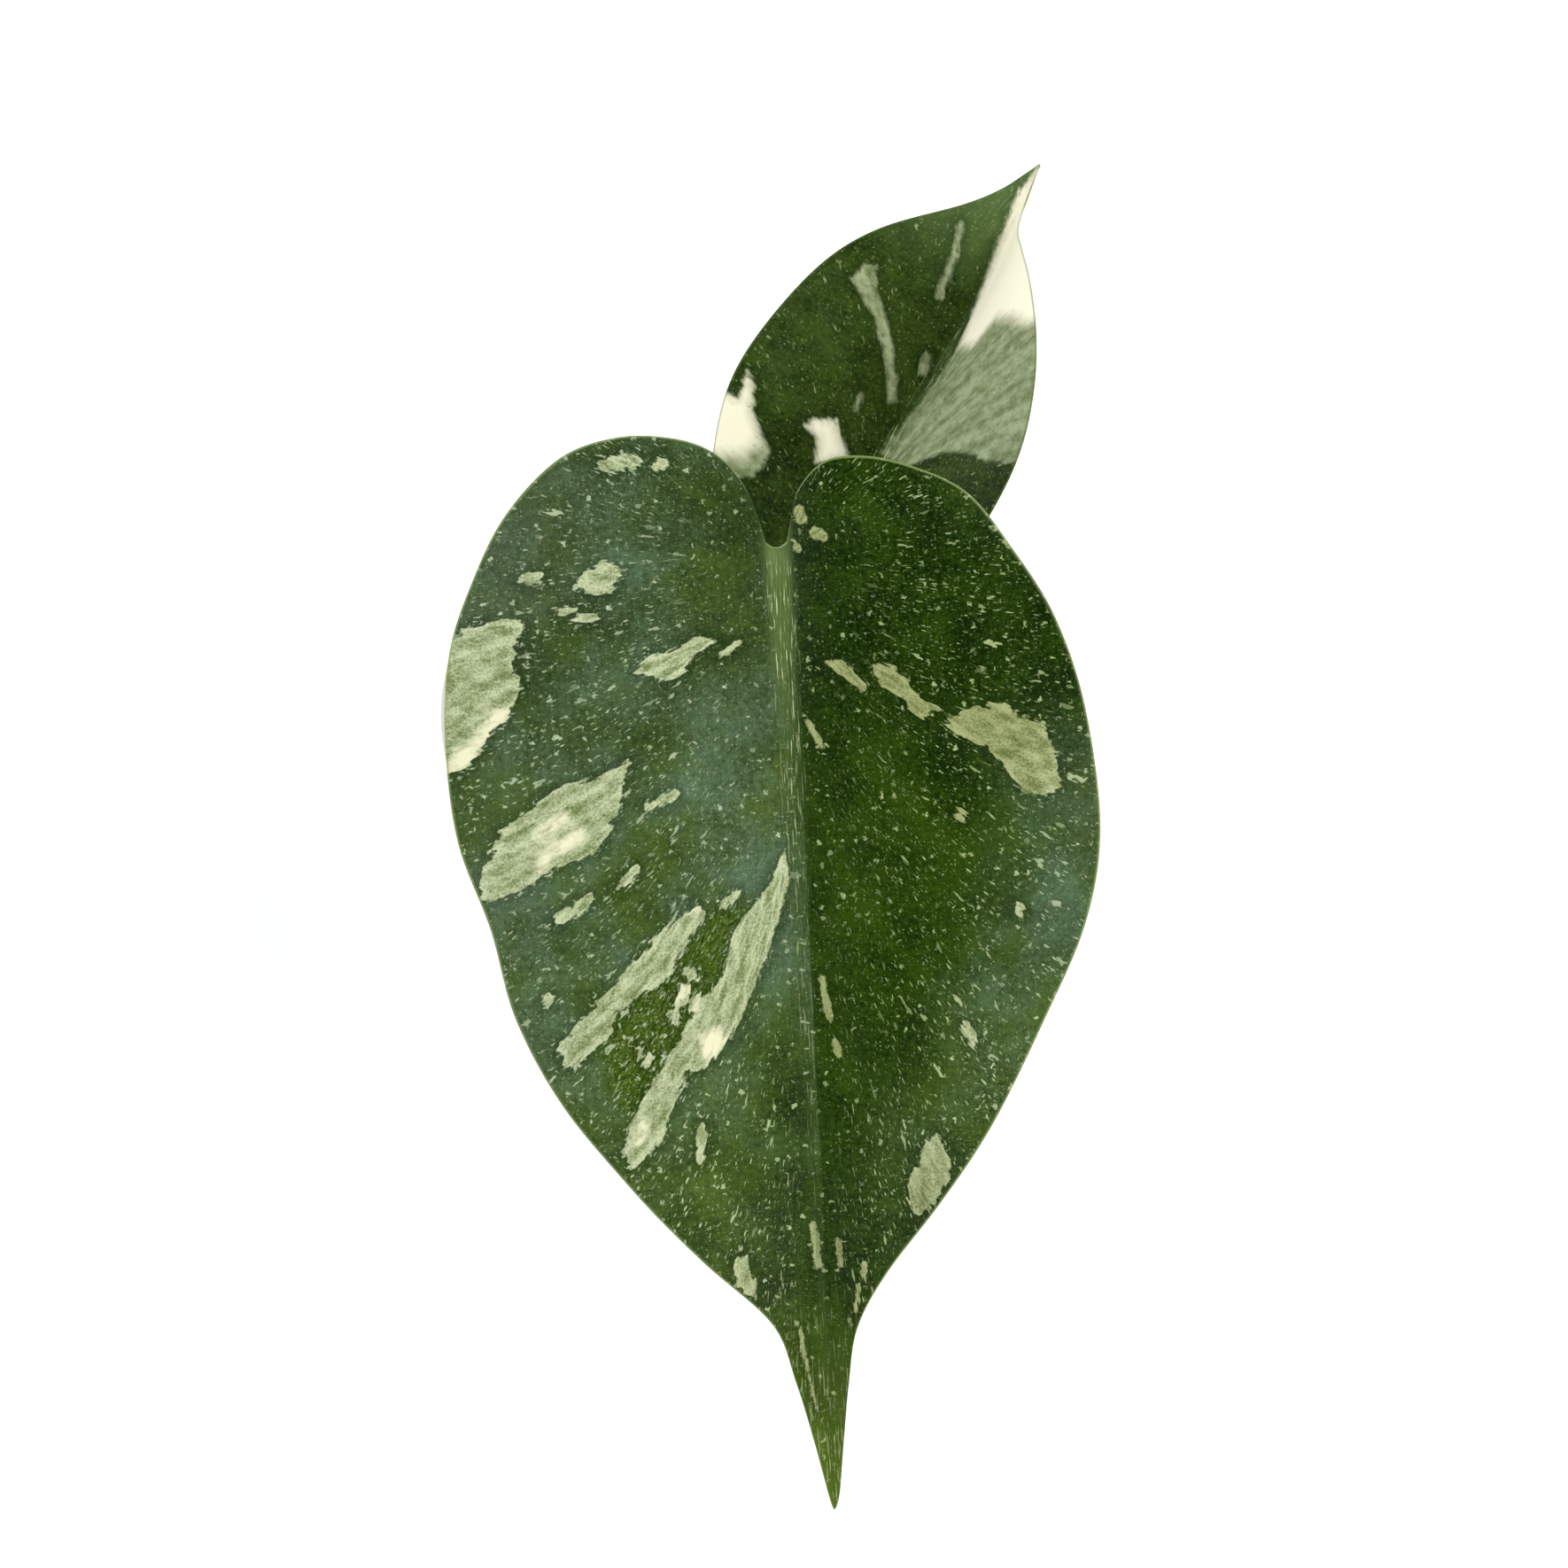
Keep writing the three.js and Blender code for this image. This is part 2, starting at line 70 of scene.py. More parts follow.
# Kinds of shader node, each with its usual settings
NOISE = ("ShaderNodeTexNoise", {})
CELLS = ("ShaderNodeTexVoronoi", {"voronoi_dimensions": "2D"})
RANGE = ("ShaderNodeMapRange", {})
FIELD = ("ShaderNodeAttribute", {})
PLACE = ("ShaderNodeTexCoord", {})
BUMP = ("ShaderNodeBump", {})
BLEND = ("ShaderNodeMix", {"data_type": "RGBA"})
SPLIT_COLOUR = ("ShaderNodeSeparateColor", {})
SPLIT_PLACE = ("ShaderNodeSeparateXYZ", {})
PLUS, MINUS, TIMES, POWER, IS_LESS, LARGER, TIMES_PLUS = (
    ("ShaderNodeMath", {"operation": name})
    for name in ("ADD", "SUBTRACT", "MULTIPLY", "POWER", "LESS_THAN", "MAXIMUM", "MULTIPLY_ADD")
)
PLUS_EACH, MINUS_EACH, TIMES_EACH = (
    ("ShaderNodeVectorMath", {"operation": name}) for name in ("ADD", "SUBTRACT", "MULTIPLY")
)


# Numbers and curves


def lerp(a: Numbers, b: Numbers, t: Numbers) -> Numbers:
    """Blends from a to b by t."""
    return a + (b - a) * t


def smoothstep(value: Numbers, low: float, high: float) -> Numbers:
    """Rises smoothly from 0 at low to 1 at high."""
    share = np.clip((np.asarray(value, float) - low) / (high - low), 0, 1)
    return share * share * (3 - 2 * share)


def hump(value: Numbers, rises: tuple, falls: tuple) -> Numbers:
    """Rises smoothly from 0 to 1 between the values of rises, and falls back between those of falls."""
    return smoothstep(value, *rises) * (1 - smoothstep(value, *falls))


def bell(distance: Numbers, width: Numbers) -> Numbers:
    """Falls from 1 at no distance to about a third at the width, and soon after to nothing."""
    return np.exp(-((distance / width) ** 2))


def hermite(start: Array, end: Array, leaving: Array, arriving: Array, t: Array) -> Array:
    """Gives points of the cubic curve between two points.

    Args:
        start: the first point.
        end: the last point.
        leaving: the curve's slope at the first.
        arriving: its slope at the last.
        t: how far along it each point to return lies, from 0 to 1.

    Returns:
        The points.
    """
    cubic = (2 * start - 2 * end + leaving + arriving) * t**3
    square = (3 * end - 3 * start - 2 * leaving - arriving) * t**2
    return cubic + square + leaving * t + start


def bent(start: Array, corner: Array, end: Array, t: Array) -> Array:
    """Gives the curve from start to end that rounds a corner, at shares t of the way."""
    return (1 - t) ** 2 * start + 2 * t * (1 - t) * corner + t**2 * end


def catmull_rom(points: tuple, samples: int = 2400) -> Array:
    """Samples the uniform Catmull-Rom curve through points, with its end points doubled.

    Args:
        points: the points that the curve passes through.
        samples: how many points to return.

    Returns:
        The curve's points, one a row.
    """
    given = np.array(points, float)
    padded = np.vstack([given[:1], given, given[-1:]])
    place = np.linspace(0, len(given) - 1, samples)
    first = np.minimum(place.astype(int), len(given) - 2)
    a, b, c, d = (padded[first + k] for k in range(4))
    return hermite(b, c, (c - a) / 2, (d - b) / 2, (place - first)[:, None])


def centripetal(points: list, samples: int = 60) -> Array:
    """Samples the centripetal Catmull-Rom curve through points, its ends run on straight.

    Args:
        points: the points that the curve passes through.
        samples: how many points to return for each stretch between two points.

    Returns:
        The curve's points, one a row.
    """
    given = np.array(points, float)
    padded = np.vstack([2 * given[0] - given[1], given, 2 * given[-1] - given[-2]])
    t = np.linspace(0, 1, samples)[:, None]
    stretches = []
    for k in range(len(given) - 1):
        a, b, c, d = padded[k : k + 4]
        before, between, after = (math.sqrt(np.linalg.norm(q - p)) for p, q in ((a, b), (b, c), (c, d)))
        leaving = (b - a) / before - (c - a) / (before + between) + (c - b) / between
        arriving = (c - b) / between - (d - b) / (between + after) + (d - c) / after
        stretches.append(hermite(b, c, leaving * between, arriving * between, t))
    return np.vstack(stretches)


def walked(points: Array) -> Array:
    """Gives the distance along a line of points to each of them."""
    return np.concatenate([[0], np.cumsum(np.linalg.norm(np.diff(points, axis=0), axis=1))])


def spaced(points: Array, shares: Array) -> Array:
    """Gives the points at equal shares of the way along a line of points.

    Args:
        points: the line's points, one a row.
        shares: how far along it each point to return lies, from 0 to 1.

    Returns:
        One point for each share.
    """
    distance = walked(points)
    return np.stack([np.interp(shares * distance[-1], distance, column) for column in points.T], -1)


def unit(vectors: Array) -> Array:
    """Scales vectors, one a row, to length 1."""
    return vectors / np.maximum(np.linalg.norm(vectors, axis=-1, keepdims=True), TINY)


# Meshes


def mesh_object(name: str, points: Array, faces: list, fields: dict | None = None) -> bpy.types.Object:
    """Makes a smooth-shaded mesh object from points in millimetres.

    Args:
        name: the piece's name.
        points: the vertices, one a row, in millimetres.
        faces: the vertex indices of each face.
        fields: values that the finish reads, one number or one vector for each vertex, by name.

    Returns:
        The object, linked to the scene.
    """
    mesh = bpy.data.meshes.new(name)
    corners = [list(map(int, face)) for face in faces]
    mesh.from_pydata((np.asarray(points, float) * MM).tolist(), [], corners)
    for title, values in (fields or {}).items():
        values = np.asarray(values, np.float32)
        kind, key = ("FLOAT_VECTOR", "vector") if values.ndim == 2 else ("FLOAT", "value")
        mesh.attributes.new(title, kind, "POINT").data.foreach_set(key, values.ravel())
    mesh.polygons.foreach_set("use_smooth", [True] * len(mesh.polygons))
    made = bpy.data.objects.new(name, mesh)
    bpy.context.scene.collection.objects.link(made)
    turn_outwards(mesh)
    return made


def turn_outwards(mesh: bpy.types.Mesh) -> None:
    """Turns a closed mesh's faces outwards, whichever way they were listed.

    Args:
        mesh: the mesh.
    """
    mesh.calc_loop_triangles()
    corners = np.array([triangle.vertices for triangle in mesh.loop_triangles])
    place = np.array([vertex.co for vertex in mesh.vertices])
    a, b, c = (place[corners[:, k]] for k in range(3))
    if np.sum(a * np.cross(b, c)) < 0:
        mesh.flip_normals()


def sheet(name: str, upper: Array, lower: Array, bulge: float, fields: dict) -> bpy.types.Object:
    """Makes a closed thin body between two faces given as the same grid, with a rounded edge.

    Args:
        name: the piece's name.
        upper: the upper face's points, rows by columns by 3.
        lower: the lower face's points, in the same grid.
        bulge: how far the middle of the edge stands out, in millimetres.
        fields: values for the finish in the same grid, by name. "under" is added: 0 above, 1 below.

    Returns:
        The object.
    """
    rows, columns = upper.shape[:2]
    count = rows * columns
    i, j = border_cells(rows, columns)
    inner = np.clip(i, 1, rows - 2), np.clip(j, 1, columns - 2)
    outward = unit(upper[i, j] - upper[inner])
    rim = (upper[i, j] + lower[i, j]) / 2 + bulge * outward
    index = np.arange(count).reshape(rows, columns)
    quads = np.stack([index[:-1, :-1], index[1:, :-1], index[1:, 1:], index[:-1, 1:]], -1).reshape(-1, 4)
    top = index[i, j]
    bottom = top + count
    edge = np.arange(len(i)) + 2 * count
    after = np.roll(np.arange(len(i)), -1)
    faces = [
        quads,
        quads[:, ::-1] + count,
        np.stack([top[after], top, edge, edge[after]], -1),
        np.stack([edge[after], edge, bottom, bottom[after]], -1),
    ]
    values = {}
    for title, grid in fields.items():
        flat = grid.reshape(count, -1)
        values[title] = np.squeeze(np.vstack([flat, flat, flat[top]]))
    values["under"] = np.repeat([0.0, 1.0, 0.5], [count, count, len(i)])
    points = np.vstack([upper.reshape(-1, 3), lower.reshape(-1, 3), rim])
    return mesh_object(name, points, np.vstack(faces), values)


def border_cells(rows: int, columns: int) -> tuple[Array, Array]:
    """Lists the points on a grid's border, in order round it.

    Args:
        rows: how many rows the grid has.
        columns: how many columns.

    Returns:
        The row of each point, and its column.
    """
    down, right = np.arange(rows - 1), np.arange(columns - 1)
    i = np.concatenate([down, np.full(columns - 1, rows - 1), down[::-1] + 1, np.zeros(columns - 1, int)])
    j = np.concatenate([np.zeros(rows - 1, int), right, np.full(rows - 1, columns - 1), right[::-1] + 1])
    return i, j


def filleted(profile: list, radius: float, steps: int = 5) -> Array:
    """Rounds the corners of a profile.

    Args:
        profile: [radius, height] pairs.
        radius: how far each corner is cut back, or just under half its shorter side where that is less.
        steps: how many points round a corner.

    Returns:
        The rounded profile.
    """
    given = np.array(profile, float)
    points = [given[:1]]
    for before, corner, after in zip(given, given[1:], given[2:]):
        reach = min(radius, *(np.linalg.norm(other - corner) / 2.1 for other in (before, after)))
        start, end = corner + reach * unit(np.array([before - corner, after - corner]))
        points.append(bent(start, corner, end, np.linspace(0, 1, steps)[:, None]))
    return np.vstack([*points, given[-1:]])


def bands(rings: int, sides: int, first: int = 0) -> list:
    """Lists the faces between equal rings of points.

    Args:
        rings: how many rings.
        sides: how many points each has.
        first: the number of the first ring's first point.

    Returns:
        The points of each face.
    """
    after = [*range(1, sides), 0]
    starts = range(first, first + (rings - 1) * sides, sides)
    pairs = [(low + a, low + b) for low in starts for a, b in enumerate(after)]
    return [[a, b, b + sides, a + sides] for a, b in pairs]


def turned(profile: Array, sides: int) -> Shape:
    """Turns a profile that starts and ends on the axis about +Z.

    Args:
        profile: [radius, height] pairs.
        sides: how many sides the turned body has.

    Returns:
        The points and the faces.
    """
    angle = np.linspace(0, math.tau, sides, endpoint=False)
    rings = [
        np.stack([radius * np.cos(angle), radius * np.sin(angle), np.full(sides, height)], -1)
        for radius, height in profile[1:-1]
    ]
    points = np.vstack([[[0, 0, profile[0][1]]], *rings, [[0, 0, profile[-1][1]]]])
    last = len(points) - 1
    ring = [(a, (a + 1) % sides) for a in range(sides)]
    foot = [[0, 1 + b, 1 + a] for a, b in ring]
    crown = [[last - sides + a, last - sides + b, last] for a, b in ring]
    return points, foot + bands(len(rings), sides, 1) + crown


def tube(path: Array, radius: float, sides: int) -> Shape:
    """Makes a closed round tube along a path that lies nearly level.

    Args:
        path: the points of its middle line.
        radius: its radius.
        sides: how many sides it has.

    Returns:
        The points and the faces.
    """
    along = unit(np.gradient(path, axis=0))
    across = unit(np.cross(along, [0, 0, 1]))
    up = np.cross(across, along)
    angle = np.linspace(0, math.tau, sides, endpoint=False)
    circle = across[:, None] * np.cos(angle)[:, None] + up[:, None] * np.sin(angle)[:, None]
    points = (path[:, None] + radius * circle).reshape(-1, 3)
    ends = [list(range(sides))[::-1], list(range(len(points) - sides, len(points)))]
    return points, bands(len(path), sides) + ends


def joined(shapes: list) -> Shape:
    """Lists the points and faces of many shapes as those of one.

    Args:
        shapes: the shapes.

    Returns:
        All their points, and their faces.
    """
    points, faces, count = [], [], 0
    for shape, corners in shapes:
        points.append(shape)
        faces += [[count + v for v in face] for face in corners]
        count += len(shape)
    return np.vstack(points), faces


def taken(made: bmesh.types.BMesh) -> Shape:
    """Takes the points and faces out of a working mesh, and frees it.

    Args:
        made: the working mesh.

    Returns:
        Its points and faces.
    """
    points = np.array([vertex.co for vertex in made.verts])
    faces = [[vertex.index for vertex in face.verts] for face in made.faces]
    made.free()
    return points, faces


def cut(piece: bpy.types.Object, cylinders: list) -> None:
    """Cuts upright cylinders out of a piece.

    Args:
        piece: the object to cut.
        cylinders: (x, y, lowest z, highest z, radius) of each, in millimetres.
    """
    tool = bmesh.new()
    for x, y, low, high, radius in cylinders:
        size = {"radius1": radius * MM, "radius2": radius * MM, "depth": (high - low) * MM}
        made = bmesh.ops.create_cone(tool, cap_ends=True, segments=48, **size)
        bmesh.ops.translate(tool, vec=Vector((x, y, (low + high) / 2)) * MM, verts=made["verts"])
    mesh = bpy.data.meshes.new("cutter")
    tool.to_mesh(mesh)
    tool.free()
    cutter = bpy.data.objects.new("cutter", mesh)
    bpy.context.scene.collection.objects.link(cutter)
    modifier = piece.modifiers.new("cut", "BOOLEAN")
    modifier.object = cutter
    modifier.operation = "DIFFERENCE"
    modifier.solver = "EXACT"
    graph = bpy.context.evaluated_depsgraph_get()
    result = bpy.data.meshes.new_from_object(piece.evaluated_get(graph))
    piece.modifiers.clear()
    piece.data = result
    bpy.data.objects.remove(cutter)


# Finishes


def linear(colour: str) -> tuple[float, float, float, float]:
    """Turns an sRGB colour such as "#3E561F" into linear red, green, blue and alpha."""
    channels = [int(colour[k : k + 2], 16) / 255 for k in (1, 3, 5)]
    return (*[c / 12.92 if c <= 0.04045 else ((c + 0.055) / 1.055) ** 2.4 for c in channels], 1.0)


def feed(tree: Tree, socket: bpy.types.NodeSocket, value: object) -> None:
    """Sets or links an input.

    Args:
        tree: the node tree.
        socket: the input.
        value: a number, a vector, a colour such as "#3E561F", a mesh field's name, an output, or a node,
            which stands for its first output in use.
    """
    if isinstance(value, str) and not value.startswith("#"):
        read = add(tree, FIELD, attribute_name=value)
        value = read.outputs["Vector" if socket.type == "VECTOR" else "Fac"]
    if isinstance(value, Node):
        value = next(output for output in value.outputs if output.enabled)
    if isinstance(value, bpy.types.NodeSocket):
        tree.links.new(value, socket)
    else:
        socket.default_value = linear(value) if isinstance(value, str) else value


def add(tree: Tree, kind: tuple[str, dict], *inputs: object, **named: object) -> Node:
    """Adds a node with its settings and links.

    Args:
        tree: the node tree.
        kind: the kind of node.
        inputs: what its first inputs in use are fed, in order.
        named: what other inputs are fed, and the node's own settings, by name.

    Returns:
        The node.
    """
    node = tree.nodes.new(kind[0])
    titles = {socket: socket.name.lower().replace(" ", "_") for socket in node.inputs}
    for title, value in (kind[1] | named).items():
        if title not in titles.values():
            setattr(node, title, value)
    used = [socket for socket in node.inputs if socket.enabled]
    by_name = [(socket, named[titles[socket]]) for socket in used if titles[socket] in named]
    for socket, value in [*zip(used, inputs), *by_name]:
        feed(tree, socket, value)
    return node


@dataclass(frozen=True)
class Finish:
    """What every finish has: the name of the real material and how it is made, and its gloss."""

    title: str
    roughness: float
    ior: float
    # The share of a smooth face's mirror gloss: 0.5 is all of it
    gloss = 0.5

    def patterns(self, tree: Tree) -> dict:
        """Draws the finish's patterns and gives what each feeds, by the name of the shader's socket."""
        raise NotImplementedError

    def material(self) -> bpy.types.Material:
        """Builds the material: a shader with this finish's gloss, fed by its patterns.

        Returns:
            The material.
        """
        made = bpy.data.materials.new(self.title)
        made.use_nodes = True
        tree = made.node_tree
        skin = tree.nodes["Principled BSDF"]
        even = {"Roughness": self.roughness, "IOR": self.ior, "Specular IOR Level": self.gloss}
        for title, value in [*even.items(), *self.patterns(tree).items()]:
            feed(tree, skin.inputs[title], value)
        return made


class Guide(Enum):
    """What a pattern follows: a blade's lines of cells, the flat blade, or a stalk's fibres."""

    LINEAGE = "lineage"
    FLAT = "flat"
    FIBRES = "grain"


def grained(
    tree: Tree, guide: Guide, across: float, along: float, detail: float = 2, roughness: float = 0.55,
    shift: float = 0,
) -> Node:
    """Adds a noise with a real size.

    Args:
        tree: the node tree.
        guide: what it follows.
        across: its size across that, in millimetres.
        along: its size along it, in millimetres.
        detail: how many finer sizes it holds.
        roughness: how strong those are.
        shift: moves the pattern, to set two of the same size apart.

    Returns:
        The noise node.
    """
    scaled = add(tree, TIMES_EACH, guide.value, (1 / across, 1 / along, 1))
    moved = add(tree, PLUS_EACH, scaled, (shift, shift, 0))
    return add(tree, NOISE, moved, scale=1.0, detail=detail, roughness=roughness)


@dataclass(frozen=True)
class Flecks:
    """One size of fleck on a blade: the mean distances between flecks and their radii within those."""

    guide: Guide
    across: float
    along: float
    smallest: float
    largest: float
    share: float
    ragged: float
    strength: float
    # How sharply a fleck's edge falls off
    crisp: float

    # How finely an edge wanders, how far small flecks outnumber large ones, and how pale the faintest are
    wander = 2.3
    crowd = 1.8
    faintest = 0.25

    def mask(self, tree: Tree) -> Node:
        """Scatters the flecks, more of them where the blade is busy.

        Args:
            tree: the node tree.

        Returns:
            A node whose result is how far each point is bleached by them, from 0 to 1.
        """
        cell = (1 / self.across, 1 / self.along, 0)
        scaled = add(tree, TIMES_EACH, self.guide.value, cell)
        wave = add(tree, NOISE, scaled, scale=self.wander, detail=2.0).outputs["Color"]
        centred = add(tree, MINUS_EACH, wave, (0.5, 0.5, 0.5))
        pushed = add(tree, TIMES_EACH, centred, (2 * self.ragged,) * 3)
        place = add(tree, PLUS_EACH, scaled, pushed)
        cells = add(tree, CELLS, place, scale=1.0)
        chance, size, tone = add(tree, SPLIT_COLOUR, cells.outputs["Color"]).outputs
        share = add(tree, PLUS, "busy", self.share)
        kept = add(tree, IS_LESS, chance, share)
        small = add(tree, POWER, size, self.crowd)
        radius = add(tree, RANGE, small, to_min=self.smallest, to_max=self.largest)
        shown = add(tree, TIMES, radius, kept)
        inside = add(tree, MINUS, shown, cells.outputs["Distance"])
        edged = add(tree, TIMES, inside, self.crisp, use_clamp=True)
        faint = self.faintest * self.strength
        pale = add(tree, RANGE, tone, to_min=faint, to_max=self.strength)
        toned = add(tree, TIMES, edged, pale)
        if self.guide is Guide.FLAT:
            return toned
        return add(tree, TIMES, toned, "spread")


@dataclass(frozen=True)
class LeafSkin(Finish):
    """A variegated monstera blade: waxy cuticle over green tissue, bleached where cells lack chlorophyll.

    The green is darkest where no sheen is painted on it, and greyer under a painted sheen that stands in
    for light gleaming on the wax. The flecks and the torn edges of the patches follow the lines of cells
    that grew out from the midrib.
    """

    # Cell walls and hairs break up the wax, which leaves a faint sheen
    gloss: float = 0.15
    deep: str = "#0C2200"
    fresh: str = "#324C0A"
    # Painted sheen, for light gleaming on the wax: over the deep green, thin and strong, and low down
    deep_bloom: str = "#384A26"
    fresh_thin_sheen: str = "#5A7032"
    fresh_bloom: str = "#5E785A"
    fresh_low_sheen: str = "#60782A"
    # The drip tip's colour: real yellowing on the large blade, and painted sheen on the small one
    tip_tone_and_sheen: str = "#5A740C"
    # Where along the blade the drip tip's colour starts, and how strong its pale streaks are
    tip_start: float = 0.74
    tip_streaks: float = 0.45
    rib: str = "#42582A"
    # Painted shade in the midrib's furrows
    rib_shade: str = "#384E22"
    lip: str = "#647A40"
    margin: str = "#94A866"
    fleck: str = "#A4B57C"
    # Flecks under the painted sheen, and lower on the blade
    fleck_bloom: str = "#B6C4A0"
    fleck_low_sheen: str = "#D4DEAC"
    streak: str = "#C6D2A0"
    mint: str = "#A8B078"
    mint_shade: str = "#66723C"
    # Lit copies of the mint under the painted sheen; the plain mint above stands in for the shaded half
    mint_bloom: str = "#D0DAB0"
    mint_shade_bloom: str = "#74864E"
    cream: str = "#F6F4CC"
    olive: str = "#62782A"
    olive_deep: str = "#2A4208"
    under: str = "#5E7A45"
    under_pale: str = "#B6BF94"
    under_vein: str = "#90A872"
    flecks: tuple = (
        # Clumps of a few pale cells, drawn some 0.3 mm across: the finest real ones are too small to show
        Flecks(Guide.FLAT, 0.7, 0.7, 0.14, 0.3, share=0.5, ragged=0.25, strength=0.5, crisp=6),
        Flecks(Guide.LINEAGE, 0.8, 2.2, 0.1, 0.28, share=0.5, ragged=0.35, strength=1, crisp=9),
        Flecks(Guide.FLAT, 1.8, 1.8, 0.07, 0.25, share=0.6, ragged=0.5, strength=1, crisp=10),
        Flecks(Guide.LINEAGE, 2.6, 5.4, 0.05, 0.22, share=0.6, ragged=0.5, strength=1, crisp=16),
    )
    # Sizes in millimetres: the clouds in the green, and in the mint its pores and its bands
    cloud: float = 11.0
    pore: float = 0.45
    band: tuple = (2.0, 5.0)
    # How far a bleached patch's edge wanders, in long teeth along the lineage and in fine grain
    teeth: float = 3.0
    grain: float = 1.1
    # How far the edges of cream cores, mint patches and olive mottle run out, in millimetres
    cream_softness: float = 1.0
    patch_softness: float = 0.2
    olive_softness: float = 2.0

    # Sizes in millimetres, across and along: the weave and the cells of the green, the olive spots, the
    # edge's teeth and grain, the green cells left in a patch, the midrib's fibres, and the relief's
    # ridges and pebbles. The cells, fibres and pebbles are coarser than the real ones, which wouldn't show
    weave = (0.9, 0.9)
    cell = (0.33, 0.33)
    spot = (0.7, 1.3)
    tooth = (1.4, 4.0)
    edge_grain = (1.1, 1.1)
    hole = (0.5, 0.9)
    fibre = (0.3, 6.0)
    ridge = (1.6, 5.0)
    pebble = (0.5, 0.5)
    # The height of the veinlets and the cells between them
    relief = 0.12
    # How far the upper face's colours show through below, and how much duller the underside is
    through = 0.35
    dull = 0.2

    def ragged(self, tree: Tree, field: str, softness: float, shift: float) -> tuple[Node, Node]:
        """Wears the edge of a drawn marking ragged.

        Args:
            tree: the node tree.
            field: the name of the distance inside the markings, in millimetres.
            softness: how far its edge runs out, in millimetres.
            shift: moves the pattern.

        Returns:
            The nodes of the distance inside the ragged marking, and of how far each point belongs to it.
        """
        teeth = grained(tree, Guide.LINEAGE, *self.tooth, 1.5, shift=shift)
        fine = grained(tree, Guide.FLAT, *self.edge_grain, 1.5, shift=shift)
        # No long teeth where the lineage crowds together at the notch
        reach = add(tree, TIMES, "spread", self.teeth)
        swing = add(tree, MINUS, teeth, 0.5)
        long = add(tree, TIMES_PLUS, swing, reach, field)
        both = add(tree, TIMES_PLUS, fine, self.grain, long)
        inside = add(tree, MINUS, both, self.grain / 2)
        ends = {"from_min": -softness, "from_max": softness}
        return inside, add(tree, RANGE, inside, **ends, interpolation_type="SMOOTHSTEP")

    def lowered_sheen(self, tree: Tree, upper: str | Node, lower: str) -> Node:
        """Blends the painted sheen's colour from near the stalk to its colour below, where it is yellower.
        """
        low = add(tree, RANGE, "down", from_min=0.4, from_max=0.75)
        return add(tree, BLEND, low, upper, lower)

    def green(self, tree: Tree) -> Node:
        """Colours the green tissue: clouded, finely grained, veined, and yellower towards the drip tip.

        Args:
            tree: the node tree.

        Returns:
            The colour.
        """
        # The clouds weigh most, then the weave, then the cells
        clouds = grained(tree, Guide.FLAT, self.cloud, self.cloud, 4.0, 0.65)
        weave = grained(tree, Guide.FLAT, *self.weave)
        cells = grained(tree, Guide.FLAT, *self.cell, 1.0)
        finer = add(tree, TIMES_PLUS, cells, 0.7, weave)
        both = add(tree, TIMES_PLUS, clouds, 1.2, finer)
        tone = add(tree, RANGE, both, from_min=1.15, from_max=1.75)
        toned = add(tree, PLUS, "paler", tone, use_clamp=True)
        # The painted sheen lies in broad uneven patches, bluer where it is strongest
        sheen_haze = grained(tree, Guide.FLAT, 1.5 * self.cloud, 1.5 * self.cloud, 3.0, 0.6, 3.0)
        cover = add(tree, RANGE, sheen_haze, from_min=0.38, from_max=0.6, to_min=0.7, to_max=1.1)
        sheen_share = add(tree, TIMES, "bloom", cover, use_clamp=True)
        strong_sheen = add(tree, RANGE, sheen_haze, from_min=0.4, from_max=0.58)
        layer = add(tree, BLEND, strong_sheen, self.fresh_thin_sheen, self.fresh_bloom)
        pale = self.lowered_sheen(tree, layer, self.fresh_low_sheen)
        low = add(tree, BLEND, sheen_share, self.deep, self.deep_bloom)
        high = add(tree, BLEND, sheen_share, self.fresh, pale)
        body = add(tree, BLEND, toned, low, high)
        # Towards the drip tip the green turns to the tip's colour, which on the small blade is painted
        # sheen
        late = add(tree, RANGE, "down", from_min=self.tip_start, from_max=0.95, to_max=0.7)
        return add(tree, BLEND, late, body, self.tip_tone_and_sheen)

    def mottled(self, tree: Tree, green: Node) -> Node:
        """Lays the half-bleached yellow-green mottle over the green.

        Args:
            tree: the node tree.
            green: the green tissue's colour.

        Returns:
            The colour with the mottle.
        """
        spots = grained(tree, Guide.LINEAGE, *self.spot, 3.0, 0.7, 12.0)
        tone = add(tree, RANGE, spots, from_min=0.4, from_max=0.7)
        olive = add(tree, BLEND, tone, self.olive_deep, self.olive)
        mask = self.ragged(tree, "olive", self.olive_softness, 47.0)[1]
        return add(tree, BLEND, mask, green, olive)

    def flecked(self, tree: Tree, ground: Node) -> Node:
        """Scatters the flecks over the blade's colour.

        Args:
            tree: the node tree.
            ground: the blade's colour.

        Returns:
            The colour with the flecks.
        """
        # Flecks are paler and greyer where sheen is painted
        sheened_fleck = self.lowered_sheen(tree, self.fleck_bloom, self.fleck_low_sheen)
        fleck = add(tree, BLEND, "bloom", self.fleck, sheened_fleck)
        for layer in self.flecks:
            ground = add(tree, BLEND, layer.mask(tree), ground, fleck)
        return ground

    def mint_tissue(self, tree: Tree, inside: Node) -> Node:
        """Colours the half-bleached tissue of the patches: pored and banded in two tones of mint.

        Args:
            tree: the node tree.
            inside: the distance inside the patches, in millimetres.

        Returns:
            The colour.
        """
        pores = grained(tree, Guide.FLAT, self.pore, self.pore, 2.0, 0.8)
        stripes = grained(tree, Guide.LINEAGE, *self.band, 3.0, 0.6)
        mixed = add(tree, TIMES_PLUS, pores, 0.8, stripes)
